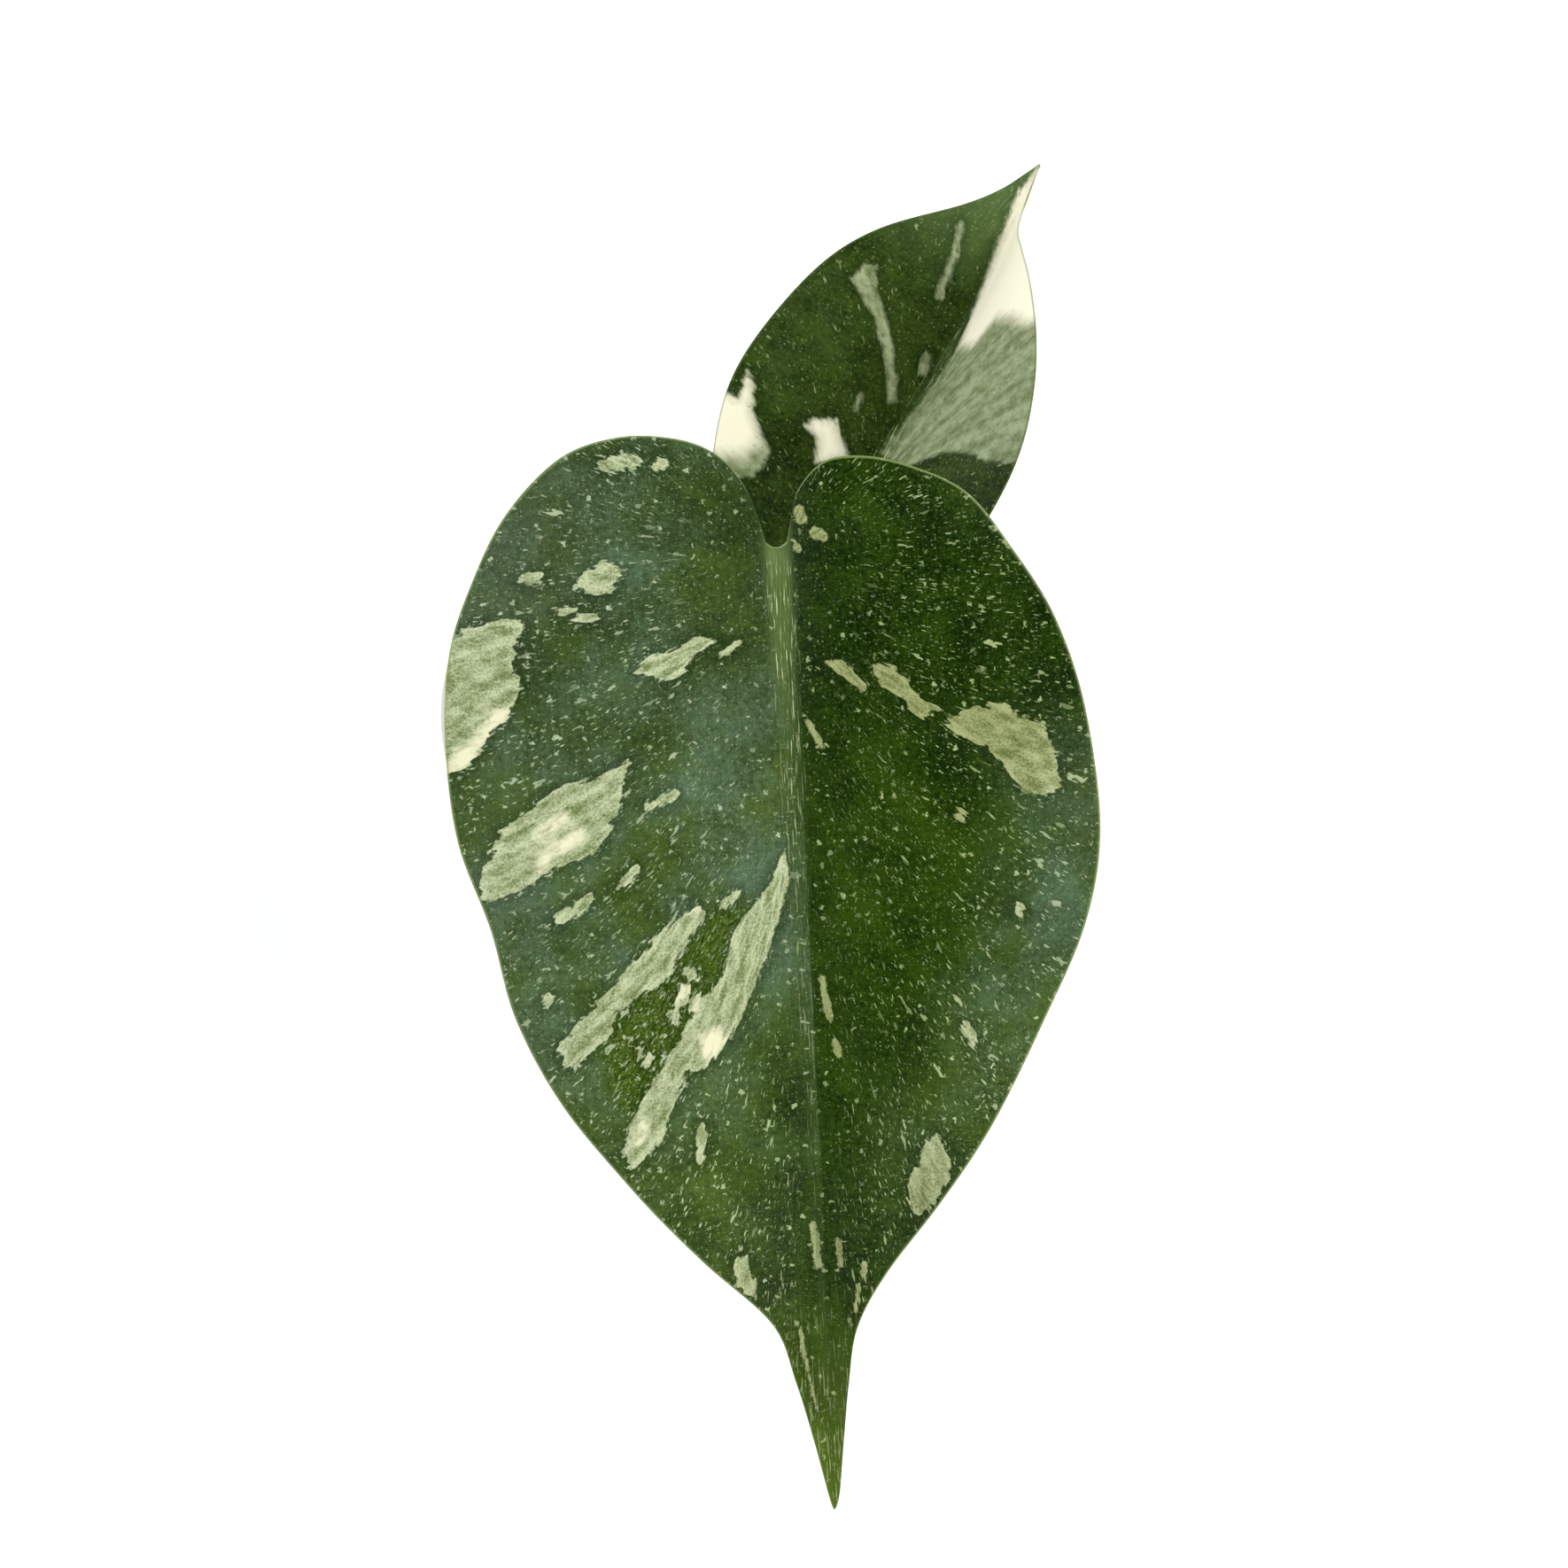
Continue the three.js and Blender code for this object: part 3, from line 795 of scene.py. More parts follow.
        # Patches are paler in their outermost millimetre
        rim = add(tree, RANGE, inside, from_max=1.3, to_min=0.1, to_max=0.0)
        lifted = add(tree, PLUS, mixed, rim)
        tone = add(tree, RANGE, lifted, from_min=0.74, from_max=1.08)
        # Lit and shaded copies of the mint: lighter under the painted sheen, darker and yellower without it
        dim = add(tree, BLEND, "bloom", self.mint_shade, self.mint_shade_bloom)
        bright = add(tree, BLEND, "bloom", self.mint, self.mint_bloom)
        return add(tree, BLEND, tone, dim, bright)

    def bleached(self, tree: Tree, green: Node) -> tuple[Node, Node, Node]:
        """Lays flecks, mint patches and their cream cores over the green.

        Args:
            tree: the node tree.
            green: the green tissue's colour.

        Returns:
            The colour, and how far each point belongs to a patch and to a cream core.
        """
        inside, patch = self.ragged(tree, "mint", self.patch_softness, 0.0)
        core = self.ragged(tree, "cream", self.cream_softness, 31.0)[1]
        # The green is darkest just outside a patch
        near = add(tree, RANGE, inside, from_min=-2.2, from_max=0.0, to_max=0.45)
        ground = self.flecked(tree, add(tree, BLEND, near, green, self.deep))
        pale = add(tree, BLEND, core, self.mint_tissue(tree, inside), self.cream)
        # Green cells left among the bleached ones
        holes = grained(tree, Guide.LINEAGE, *self.hole, 1.0, 0.5, 5.0)
        gone = add(tree, RANGE, holes, from_min=0.66, from_max=0.74, to_min=1.0, to_max=0.4)
        closed = add(tree, LARGER, gone, core)
        whole = add(tree, TIMES, patch, closed)
        return add(tree, BLEND, whole, ground, pale), patch, core

    def ribbed(self, tree: Tree, colour: Node, core: Node) -> Node:
        """Draws the pale streaked midrib and the thin pale margin over the blade's colour.

        Args:
            tree: the node tree.
            colour: the blade's colour.
            core: how far each point belongs to a cream core, where the midrib is cream too.

        Returns:
            The colour with both.
        """
        bare = add(tree, RANGE, core, to_min=1.0, to_max=0.2)
        rib = add(tree, TIMES, "rib", bare)
        lines = grained(tree, Guide.FLAT, *self.fibre, 3.0, 0.65)
        # Painted shade in the midrib's furrows, in its upper half
        furrow_shade = add(tree, RANGE, lines, from_min=0.36, from_max=0.48, to_min=0.8, to_max=0.0)
        plain = add(tree, BLEND, "lip", self.rib, self.lip)
        sunk = add(tree, BLEND, furrow_shade, plain, self.rib_shade)
        toned = add(tree, BLEND, "lined", plain, sunk)
        band = add(tree, BLEND, rib, colour, toned)
        # Pale streaks along the midrib, and again over the drip tip
        streaks = add(tree, RANGE, lines, from_min=0.57, from_max=0.64, to_max=1.3)
        low = add(tree, RANGE, "down", from_min=0.74, from_max=0.9, to_max=self.tip_streaks)
        there = add(tree, TIMES_PLUS, "lined", rib, low)
        bright = add(tree, TIMES, streaks, there, use_clamp=True)
        streaked = add(tree, BLEND, bright, band, self.streak)
        thin = add(tree, RANGE, "rim", from_min=0.1, from_max=0.36, to_min=0.6, to_max=0.0)
        return add(tree, BLEND, thin, streaked, self.margin)

    def below(self, tree: Tree, upper: Node, patch: Node, core: Node) -> Node:
        """Colours the underside: paler, with the markings showing through and pale veins.

        Args:
            tree: the node tree.
            upper: the upper face's colour.
            patch: how far each point belongs to a patch.
            core: how far each point belongs to a cream core.

        Returns:
            The colour.
        """
        flat = add(tree, BLEND, patch, self.under, self.under_pale)
        dulled = add(tree, BLEND, self.through, flat, upper)
        raised = add(tree, LARGER, "keel", "vein")
        thin = add(tree, RANGE, raised, from_min=0.35, from_max=0.95, to_max=0.75)
        faint = add(tree, RANGE, core, to_min=1.0, to_max=0.25)
        shown = add(tree, TIMES, thin, faint)
        return add(tree, BLEND, shown, dulled, self.under_vein)

    def relieved(self, tree: Tree) -> Node:
        """Raises the veinlets, the cells between them, and the side veins below.

        Args:
            tree: the node tree.

        Returns:
            The relief.
        """
        ridges = grained(tree, Guide.LINEAGE, *self.ridge)
        pebbles = grained(tree, Guide.FLAT, *self.pebble, 1.0)
        cells = add(tree, TIMES_PLUS, pebbles, 0.3, ridges)
        veins = add(tree, TIMES, "vein", "under")
        height = add(tree, TIMES_PLUS, veins, 3.0, cells)
        return add(tree, BUMP, height=height, strength=0.35, distance=self.relief * MM)

    def patterns(self, tree: Tree) -> dict:
        """Draws both faces of the blade.

        Args:
            tree: the node tree.

        Returns:
            What feeds the shader, by socket.
        """
        upper, patch, core = self.bleached(tree, self.mottled(tree, self.green(tree)))
        upper = self.ribbed(tree, upper, core)
        lower = self.below(tree, upper, patch, core)
        dull = self.roughness + self.dull
        return {
            "Base Color": add(tree, BLEND, "under", upper, lower),
            "Roughness": add(tree, RANGE, "under", to_min=self.roughness, to_max=dull),
            "Normal": self.relieved(tree),
        }


@dataclass(frozen=True)
class StalkSkin(Finish):
    """A green stalk: smooth waxy skin with long pale fibres and bleached streaks, painted shade on its
    knee.
    """

    gloss: float = 0.2
    body: str = "#587433"
    light: str = "#718B45"
    streak: str = "#C3CC94"
    streak_share: float = 0.62
    # Painted shade on the knee, which lies in the blade's shadow
    painted_knee_shade: str = "#2C420C"

    # Sizes in millimetres, across and along, and the height of the ridges along the fibres
    fibre = (0.5, 26)
    streak_size = (1.6, 24)
    ridge = 0.07

    def patterns(self, tree: Tree) -> dict:
        """Draws the fibres and the streaks.

        Args:
            tree: the node tree.

        Returns:
            What feeds the shader, by socket.
        """
        lines = grained(tree, Guide.FIBRES, *self.fibre, 3.0, 0.6)
        tone = add(tree, RANGE, lines, from_min=0.3, from_max=0.7)
        body = add(tree, BLEND, tone, self.body, self.light)
        pale = grained(tree, Guide.FIBRES, *self.streak_size, 4.0, 0.65)
        share = self.streak_share
        streaks = add(tree, RANGE, pale, from_min=share, from_max=share + 0.05, to_max=0.8)
        lined = add(tree, BLEND, streaks, body, self.streak)
        return {
            # Painted shade on the knee under the blade
            "Base Color": add(tree, BLEND, "end", lined, self.painted_knee_shade),
            "Normal": add(tree, BUMP, height=lines, strength=0.4, distance=self.ridge * MM),
        }


@dataclass(frozen=True)
class MouldedPlastic(Finish):
    """Injection-moulded polypropylene: even and faintly glossy, with dust low down and water marks."""

    body: str = "#D0CDC6"
    dust: str = "#AFA592"
    dust_height: float = 26.0
    # The size of a water mark, and the mould's orange peel: its size and its depth
    mark: float = 7.0
    peel: float = 1.2
    peel_depth: float = 0.015

    def patterns(self, tree: Tree) -> dict:
        """Draws the dust, the water marks and the orange peel.

        Args:
            tree: the node tree.

        Returns:
            What feeds the shader, by socket.
        """
        place = add(tree, PLACE).outputs["Object"]
        height = add(tree, SPLIT_PLACE, place).outputs["Z"]
        low = add(tree, RANGE, height, from_max=self.dust_height * MM, to_min=0.35, to_max=0.0)
        marks = add(tree, NOISE, place, scale=1 / (self.mark * MM), detail=5.0, roughness=0.7)
        patchy = add(tree, RANGE, marks, from_min=0.42, from_max=0.7)
        dust = add(tree, TIMES, low, patchy, use_clamp=True)
        spots = add(tree, RANGE, marks, from_min=0.62, from_max=0.8, to_max=0.12)
        both = add(tree, PLUS, dust, spots, use_clamp=True)
        smooth, rough = self.roughness - 0.06, self.roughness + 0.14
        peel = add(tree, NOISE, place, scale=1 / (self.peel * MM), detail=1.0)
        return {
            "Base Color": add(tree, BLEND, both, self.body, self.dust),
            "Roughness": add(tree, RANGE, marks, to_min=smooth, to_max=rough),
            "Normal": add(tree, BUMP, height=peel, strength=0.4, distance=self.peel_depth * MM),
        }


@dataclass(frozen=True)
class Crumb(Finish):
    """Loose planting stuff, broken or puffed: two tones by the piece and a grain within it."""

    dark: str
    light: str
    # Grain size in millimetres and its depth
    grain: float
    depth: float
    # How much of the tone belongs to the piece, against its grain
    by_piece: float

    def patterns(self, tree: Tree) -> dict:
        """Draws the grain and the tone of each piece.

        Args:
            tree: the node tree.

        Returns:
            What feeds the shader, by socket.
        """
        place = add(tree, PLACE).outputs["Object"]
        grain = add(tree, NOISE, place, scale=1 / (self.grain * MM), detail=4.0, roughness=0.7)
        spread = add(tree, RANGE, grain, from_min=0.3, from_max=0.7)
        tone = add(tree, BLEND, self.by_piece, spread, "tint", data_type="FLOAT")
        return {
            "Base Color": add(tree, BLEND, tone, self.dark, self.light),
            "Normal": add(tree, BUMP, height=grain, strength=0.8, distance=self.depth * MM),
        }


@dataclass(frozen=True)
class Paper(Finish):
    """A matte white paper sweep lit through from below, with its faint fibre."""

    light: str = "#FBFBFA"
    shade: str = "#F6F6F5"
    glow: float = 0.25
    # The fibre's clouds in the sheet, in millimetres
    cloud: float = 30.0

    def patterns(self, tree: Tree) -> dict:
        """Draws the fibre, and lights the sheet.

        Args:
            tree: the node tree.

        Returns:
            What feeds the shader, by socket.
        """
        place = add(tree, PLACE).outputs["Object"]
        fibre = add(tree, NOISE, place, scale=1 / (self.cloud * MM), detail=3.0)
        return {
            "Base Color": add(tree, BLEND, fibre, self.shade, self.light),
            "Emission Color": self.light,
            "Emission Strength": self.glow,
        }


def dress(piece: bpy.types.Object, finish: Finish, slot: str, *nodes: str) -> None:
    """Gives a piece its finish, puts it on the plant's body and reports it.

    Args:
        piece: the object.
        finish: its finish.
        slot: the name of its material slot; it is not used.
        nodes: the solids that it stands for.
    """
    material = finish.material()
    piece.data.materials.clear()
    piece.data.materials.append(material)
    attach(piece, BODY)
    if nodes:
        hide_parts(*nodes)
    log.info("%s: %d faces, %s", piece.name, len(piece.data.polygons), material.name)


# Pot and potting mix


@dataclass
class NurseryPot:
    """A thin moulded pot with a rolled band at its rim and holes in its floor."""

    height: float = 90
    rim_radius: float = 51
    rim_band: float = 10
    rim_round: float = 1.1
    band_step: float = 2.2
    shoulder_radius: float = 48.4
    base_radius: float = 36
    wall: float = 1.6
    foot_width: float = 5
    floor: float = 2
    recess: float = 2.2
    pad_radius: float = 9
    drain_radius: float = 3.4
    drain_circle: float = 21
    drains: int = 6
    sides: int = 160
    corner: float = 0.7
    # A chamfer at the foot, and the draft of each short face that the mould pulls off
    chamfer: float = 1.2
    draft: float = 0.8

    def wall_radius(self, height: float) -> float:
        """Gives the wall's outer radius at a height."""
        return lerp(self.base_radius, self.shoulder_radius, height / (self.height - self.rim_band))

    def profile(self) -> list:
        """Draws the pot's section, from the underside's middle to the inside's.

        Returns:
            [radius, height] pairs.
        """
        band_foot = self.height - self.rim_band
        step_foot = band_foot - self.band_step
        lip = self.rim_radius - self.wall - 1
        inside = self.recess + self.floor
        foot = self.base_radius - self.foot_width
        return [
            [0, 0],
            [self.pad_radius, 0],
            [self.pad_radius + 1, self.recess],
            [foot - 1, self.recess],
            [foot, 0],
            [self.base_radius - self.draft, 0],
            [self.wall_radius(self.chamfer), self.chamfer],
            [self.wall_radius(step_foot), step_foot],
            [self.rim_radius - self.draft / 2, band_foot],
            [self.rim_radius, band_foot + self.draft],
            [self.rim_radius, self.height - self.rim_round],
            [self.rim_radius - self.rim_round, self.height],
            [lip + 0.6, self.height],
            [lip, self.height - self.draft],
            [self.wall_radius(band_foot) - self.wall, band_foot - 1],
            [self.wall_radius(inside) - self.wall, inside],
            [0, inside],
        ]

    def build(self, finish: MouldedPlastic) -> None:
        """Makes the pot and dresses it.

        Args:
            finish: its finish.
        """
        pot = mesh_object("nursery_pot", *turned(filleted(self.profile(), self.corner), self.sides))
        angles = [math.tau * k / self.drains for k in range(self.drains)]
        reach = self.drain_circle
        through = (-5, 10, self.drain_radius)
        cut(pot, [(reach * math.cos(a), reach * math.sin(a), *through) for a in angles])
        dress(pot, finish, "pot_plastic", "pot")


@dataclass
class Lump:
    """One loose lump of the mix: its place, its stretch, its turn, how it is chipped, and its tint."""

    place: Array
    stretch: Array
    turn: tuple
    chipped: Array
    tint: float

    def shaped(self, template: Shape) -> Shape:
        """Stretches, chips, turns and places a copy of a template that is about 1 in radius."""
        points = template[0] * self.stretch * (1 + self.chipped)
        return points @ np.array(Euler(self.turn).to_matrix()).T + self.place, template[1]


@dataclass
class PottingMix:
    """Bark, perlite and coir that fill the pot to a little below its band."""

    pot: NurseryPot
    top: float = 76.5
    edge_drop: float = 1.6
    swell: float = 1.3
    stem_place: tuple = (-2, 5)
    stem_hole: float = 6.65
    hole_foot: float = 49.65
    clear_of_stem: float = 10
    rings: int = 70
    sides: int = 180
    chips: int = 420
    chip_size: float = 6.5
    grains: int = 110
    grain_size: float = 1.9
    crumb_count: int = 520
    crumb_size: float = 1.5
    fibres: int = 70
    fibre_radius: float = 0.16
    seed: int = 7

    # How far the bed's fine crumbs rise, the coarse and the fine ones
    crumb_rise = (0.45, 0.2)
    # Where the mounds and crumbs of the bed fade out, as shares of its radius
    edge_fade = (0.93, 0.975)
    # The largest angles, in radians: a chip's tilt either way, and any turn at all
    tilt = 0.45
    any_turn = 6.28

    def swell_at(self, x: Array, y: Array) -> Array:
        """Gives the height of the mix's low mounds, some 30 mm apart, above its mean top."""
        waves = np.sin(0.19 * x + 0.7) + np.sin(0.23 * y - 0.16 * x) + np.sin(0.41 * y + 0.33 * x + 2)
        return self.swell * waves / 3

    def edge_radius(self) -> float:
        """Gives the radius of the mix where it meets the pot's wall."""
        return self.pot.wall_radius(self.top - self.edge_drop) - self.pot.wall - GAP

    def crumbs(self, x: Array, y: Array) -> Array:
        """Gives the fine lumps of the mix between its chips, 3 mm and 1.5 mm apart.

        Args:
            x: places on the mix.
            y: the same places' other coordinate.

        Returns:
            The height of the lumps there.
        """
        coarse = np.sin(1.9 * x + 1.3 * np.sin(1.1 * y)) * np.sin(1.7 * y + 1.1 * np.sin(1.3 * x))
        fine = np.sin(4.3 * x + 2.1 * y) * np.sin(3.7 * y - 2.9 * x)
        return self.crumb_rise[0] * coarse + self.crumb_rise[1] * fine

    def bed(self, finish: Crumb) -> None:
        """Makes the body of the mix, with the stem's hole in it.

        Args:
            finish: its finish.
        """
        base = self.pot.recess + self.pot.floor + GAP
        edge = self.top - self.edge_drop
        radius = self.edge_radius()
        profile = [
            [0, base],
            [self.pot.wall_radius(base) - self.pot.wall - GAP, base],
            [radius, edge],
            *[[radius * share, self.top] for share in np.linspace(0.97, 0.02, self.rings)],
            [0, self.top],
        ]
        points, faces = turned(np.array(profile), self.sides)
        up = points[:, 2] > edge + 0.1
        x, y = points[up, 0], points[up, 1]
        fade = 1 - smoothstep(np.hypot(x, y) / radius, *self.edge_fade)
        points[up, 2] += (self.swell_at(x, y) + self.crumbs(x, y)) * fade
        made = mesh_object("mix_bed", points, faces)
        cut(made, [(*self.stem_place, self.hole_foot, self.top + 20, self.stem_hole)])
        made.data.attributes.new("tint", "FLOAT", "POINT")
        dress(made, finish, "potting_mix", "soil")

    def scattered(self, random: Draws, margin: float, clear: float) -> Array:
        """Draws a place on the mix, clear of the wall and of the stem.

        Args:
            random: the stream of draws.
            margin: how far it stays from the wall.
            clear: how far it stays from the stem's middle.

        Returns:
            The place, on the mix's surface.
        """
        while True:
            angle = math.tau * random.random()
            out = (self.edge_radius() - margin) * math.sqrt(random.random())
            x, y = out * math.cos(angle), out * math.sin(angle)
            if math.hypot(x - self.stem_place[0], y - self.stem_place[1]) >= clear:
                return np.array([x, y, self.top + float(self.swell_at(x, y))])

    def heap(self, name: str, template: Shape, lumps: list[Lump], finish: Crumb) -> None:
        """Joins many copies of one lump, each stretched, turned and chipped in its own way.

        Args:
            name: the piece's name.
            template: the lump that they are copies of.
            lumps: the copies.
            finish: its finish.
        """
        tints = np.repeat([lump.tint for lump in lumps], len(template[0]))
        made = mesh_object(name, *joined([lump.shaped(template) for lump in lumps]), {"tint": tints})
        made.data.polygons.foreach_set("use_smooth", [False] * len(made.data.polygons))
        dress(made, finish, "potting_mix")

    def bark(self, random: Draws, finish: Crumb) -> None:
        """Scatters bark chips over the mix, many small ones and few large ones.

        Args:
            random: the stream of draws.
            finish: their finish.
        """
        template = chip_template()
        lumps = []
        for _ in range(self.chips):
            size = self.chip_size * (0.25 + 0.75 * random.random() ** 1.6) / 2
            place = self.scattered(random, 1.3 * size + 1, self.clear_of_stem + size)
            place[2] += random.uniform(0.2, 1.1)
            stretch = size * np.array([1, random.uniform(0.45, 0.75), random.uniform(0.3, 0.5)])
            lean = [random.uniform(-self.tilt, self.tilt) for _ in range(2)]
            turn = (*lean, random.uniform(0, self.any_turn))
            chipped = random.uniform(-0.15, 0.15, (len(template[0]), 1))
            lumps.append(Lump(place, stretch, turn, chipped, random.random()))
        self.heap("bark_chips", template, lumps, finish)

    def grit(self, random: Draws, name: str, count: int, largest: float, finish: Crumb) -> None:
        """Scatters rounded grains over the mix.

        Args:
            random: the stream of draws.
            name: the piece's name.
            count: how many grains.
            largest: the largest one's radius.
            finish: their finish.
        """
        template = ball_template(2 if count < self.chips else 1)
        lumps = []
        for _ in range(count):
            size = largest * random.uniform(0.35, 1)
            place = self.scattered(random, size + 1, self.clear_of_stem)
            place[2] += random.uniform(0.35, 0.85)
            stretch = size * random.uniform(0.7, 1.2, 3)
            turn = tuple(random.uniform(0, self.any_turn, 3))
            chipped = random.uniform(-0.17, 0.17, (len(template[0]), 1))
            lumps.append(Lump(place, stretch, turn, chipped, random.random()))
        self.heap(name, template, lumps, finish)

    def coir(self, random: Draws, finish: Crumb) -> None:
        """Lays bent coir fibres over the mix.

        Args:
            random: the stream of draws.
            finish: their finish.
        """
        fibres = []
        t = np.linspace(-1, 1, 9)[:, None]
        for _ in range(self.fibres):
            middle = self.scattered(random, 9, self.clear_of_stem + 7)
            angle = random.uniform(0, self.any_turn)
            reach = random.uniform(4, 9) / 2
            along = np.array([math.cos(angle), math.sin(angle), 0])
            aside = np.array([-along[1], along[0], 0]) * random.uniform(-1, 1) * reach
            path = middle + along * reach * t + aside * (1 - t**2)
            path[:, 2] += 0.9 + 0.8 * (1 - t[:, 0] ** 2)
            fibres.append(tube(path, self.fibre_radius, 5))
        points, faces = joined(fibres)
        made = mesh_object("coir_fibres", points, faces, {"tint": np.full(len(points), 0.5)})
        dress(made, finish, "potting_mix")

    def build(self, bed: Crumb, bark: Crumb, perlite: Crumb, coir: Crumb) -> None:
        """Makes the bed and what lies in its top.

        Args:
            bed: the finish of the bed and of the bark fines.
            bark: the bark chips' finish.
            perlite: the perlite's finish.
            coir: the coir's finish.
        """
        random = np.random.default_rng(self.seed)
        self.bed(bed)
        self.bark(random, bark)
        self.grit(random, "perlite_grains", self.grains, self.grain_size, perlite)
        self.coir(random, coir)
        self.grit(random, "bark_fines", self.crumb_count, self.crumb_size, bed)


def chip_template() -> Shape:
    """Makes a block with its corners and edges blunted.

    Returns:
        Its points and faces.
    """
    made = bmesh.new()
    bmesh.ops.create_cube(made, size=2)
    bmesh.ops.subdivide_edges(made, edges=made.edges[:], cuts=1, use_grid_fill=True)
    points, faces = taken(made)
    # A corner is 3 steps from the middle, the middle of an edge is 2 and the middle of a face 1
    steps = np.abs(points).sum(1)
    return points * np.where(steps > 2.5, 0.84, np.where(steps > 1.5, 0.95, 1.0))[:, None], faces


def ball_template(rounds: int) -> Shape:
    """Makes a ball of triangles, split a number of rounds."""
    made = bmesh.new()
    bmesh.ops.create_icosphere(made, subdivisions=rounds, radius=1)
    return taken(made)


# Stem, stalks and the rolled new leaf


@dataclass
class Stem:
    """A short upright cane with a swollen ring under each leaf's base."""

    x: float = -2
    y: float = 5
    foot: float = 50
    top: float = 105
    radius: float = 5.8
    ring: float = 0.5
    ring_heights: tuple = (78.6, 92.4)
    sides: int = 72
    corner: float = 0.6

    # A ring's section: heights from its middle, and shares of how far it stands out
    ring_section = ((-1.5, 0), (-0.5, 1), (0.4, 1), (1.2, 0))
    # The blunt top: how far in and how far down from the cane's edge
    crown = ((0, 1.6), (1.4, 0.3), (2.6, 0))

    def build(self, finish: StalkSkin) -> None:
        """Makes the stem and dresses it.

        Args:
            finish: its finish.
        """
        body = self.radius
        profile = [[0, self.foot], [body - 1, self.foot], [body, self.foot + 1]]
        for height in self.ring_heights:
            profile += [[body + self.ring * out, height + up] for up, out in self.ring_section]
        profile += [[body - inset, self.top - down] for inset, down in self.crown]
        points, faces = turned(filleted([*profile, [0, self.top]], self.corner), self.sides)
        angle = np.arctan2(points[:, 1], points[:, 0])
        grain = np.stack([angle * body, points[:, 2], np.zeros(len(points))], -1)
        made = mesh_object("stem_cane", points + [self.x, self.y, 0], faces, {"grain": grain})
        dress(made, finish, "green_stem", "stem")


@dataclass
class RolledLeaf:
    """The next leaf, still rolled up, with its outer edge wound once round it."""

    stem: Stem
    height: float = 48
    radius: float = 2.2
    lean: tuple = (3.6, -5.6)
    roll: float = 0.16
    sides: int = 72
    rings: int = 90

    # The foot's share of the radius, and how much fuller the leaf is further up, before its point
    foot = 0.85
    fuller = 0.35
    # How far round the outer edge winds by the tip, and the way round in millimetres
    winding = 0.5
    girth = 14

    def build(self, finish: StalkSkin) -> None:
        """Makes the rolled leaf and dresses it.

        Args:
            finish: its finish.
        """
        shares = np.linspace(0, 1, self.rings + 1)[1:-1]
        sizes = (1 - shares**3) ** 0.8 * (self.foot + self.fuller * shares)
        profile = [[0, 0], [self.radius * self.foot, 0]]
        profile += [[self.radius * size, share * self.height] for size, share in zip(sizes, shares)]
        points, faces = turned(np.array([*profile, [0, self.height]]), self.sides)
        share = np.clip(points[:, 2] / self.height, 0, 1)
        around = np.arctan2(points[:, 1], points[:, 0]) / (math.tau)
        turn = (around + 1 + self.winding * share) % 1
        swell = 1 + self.roll * (turn - 0.5) * smoothstep(share, 0, 0.3)
        grain = np.stack([turn * self.girth, points[:, 2], np.zeros(len(points))], -1)
        points[:, :2] *= swell[:, None]
        points[:, :2] += np.array(self.lean) * share[:, None] ** 1.5 + [self.stem.x, self.stem.y]
        points[:, 2] += self.stem.top + GAP
        made = mesh_object("rolled_leaf", points, faces, {"grain": grain})
        dress(made, finish, "rolled_leaf", "new_leaf")


class Half(Enum):
    """The two halves of a blade, by the sign of y in its own frame."""

    MINUS = -1
    PLUS = 1


def distance_to(start: tuple, end: tuple, y: Array, x: Array) -> Array:
    """Gives the distance from each place to the straight line between two points.

    Args:
        start: one end, as (y, x).
        end: the other.
        y: the places.
        x: the same places' other coordinate.

    Returns:
        The distances.
    """
    dy, dx = end[0] - start[0], end[1] - start[1]
    share = np.clip(((y - start[0]) * dy + (x - start[1]) * dx) / max(dy * dy + dx * dx, TINY), 0, 1)
    return np.hypot(y - start[0] - share * dy, x - start[1] - share * dx)


@dataclass(frozen=True)
class Patch:
    """A bleached patch with a drawn outline of (y, x) points on the flat blade."""

    outline: tuple

    def reach(self, y: Array, x: Array) -> Array:
        """Gives how far each place is inside the patch, or outside it as a negative.

        Args:
            y: the places.
            x: the same places' other coordinate.

        Returns:
            The distances, in millimetres.
        """
        points = np.array(self.outline, float)
        nearest = np.full(y.shape, np.inf)
        inside = np.zeros(y.shape, bool)
        for (ay, ax), (by, bx) in zip(points, np.roll(points, -1, axis=0)):
            nearest = np.minimum(nearest, distance_to((ay, ax), (by, bx), y, x))
            crosses = (ax > x) != (bx > x)
            inside ^= crosses & (y < ay + (x - ax) * (by - ay) / (bx - ax if bx != ax else TINY))
        return np.where(inside, nearest, -nearest)


@dataclass(frozen=True)
class Dash:
    """A bleached dash or dot, between two (y, x) points on the flat blade."""

    start: tuple
    end: tuple
    width: float

    def reach(self, y: Array, x: Array) -> Array:
        """Gives how far each place is inside the dash, or outside it as a negative, in millimetres."""
        return self.width / 2 - distance_to(self.start, self.end, y, x)


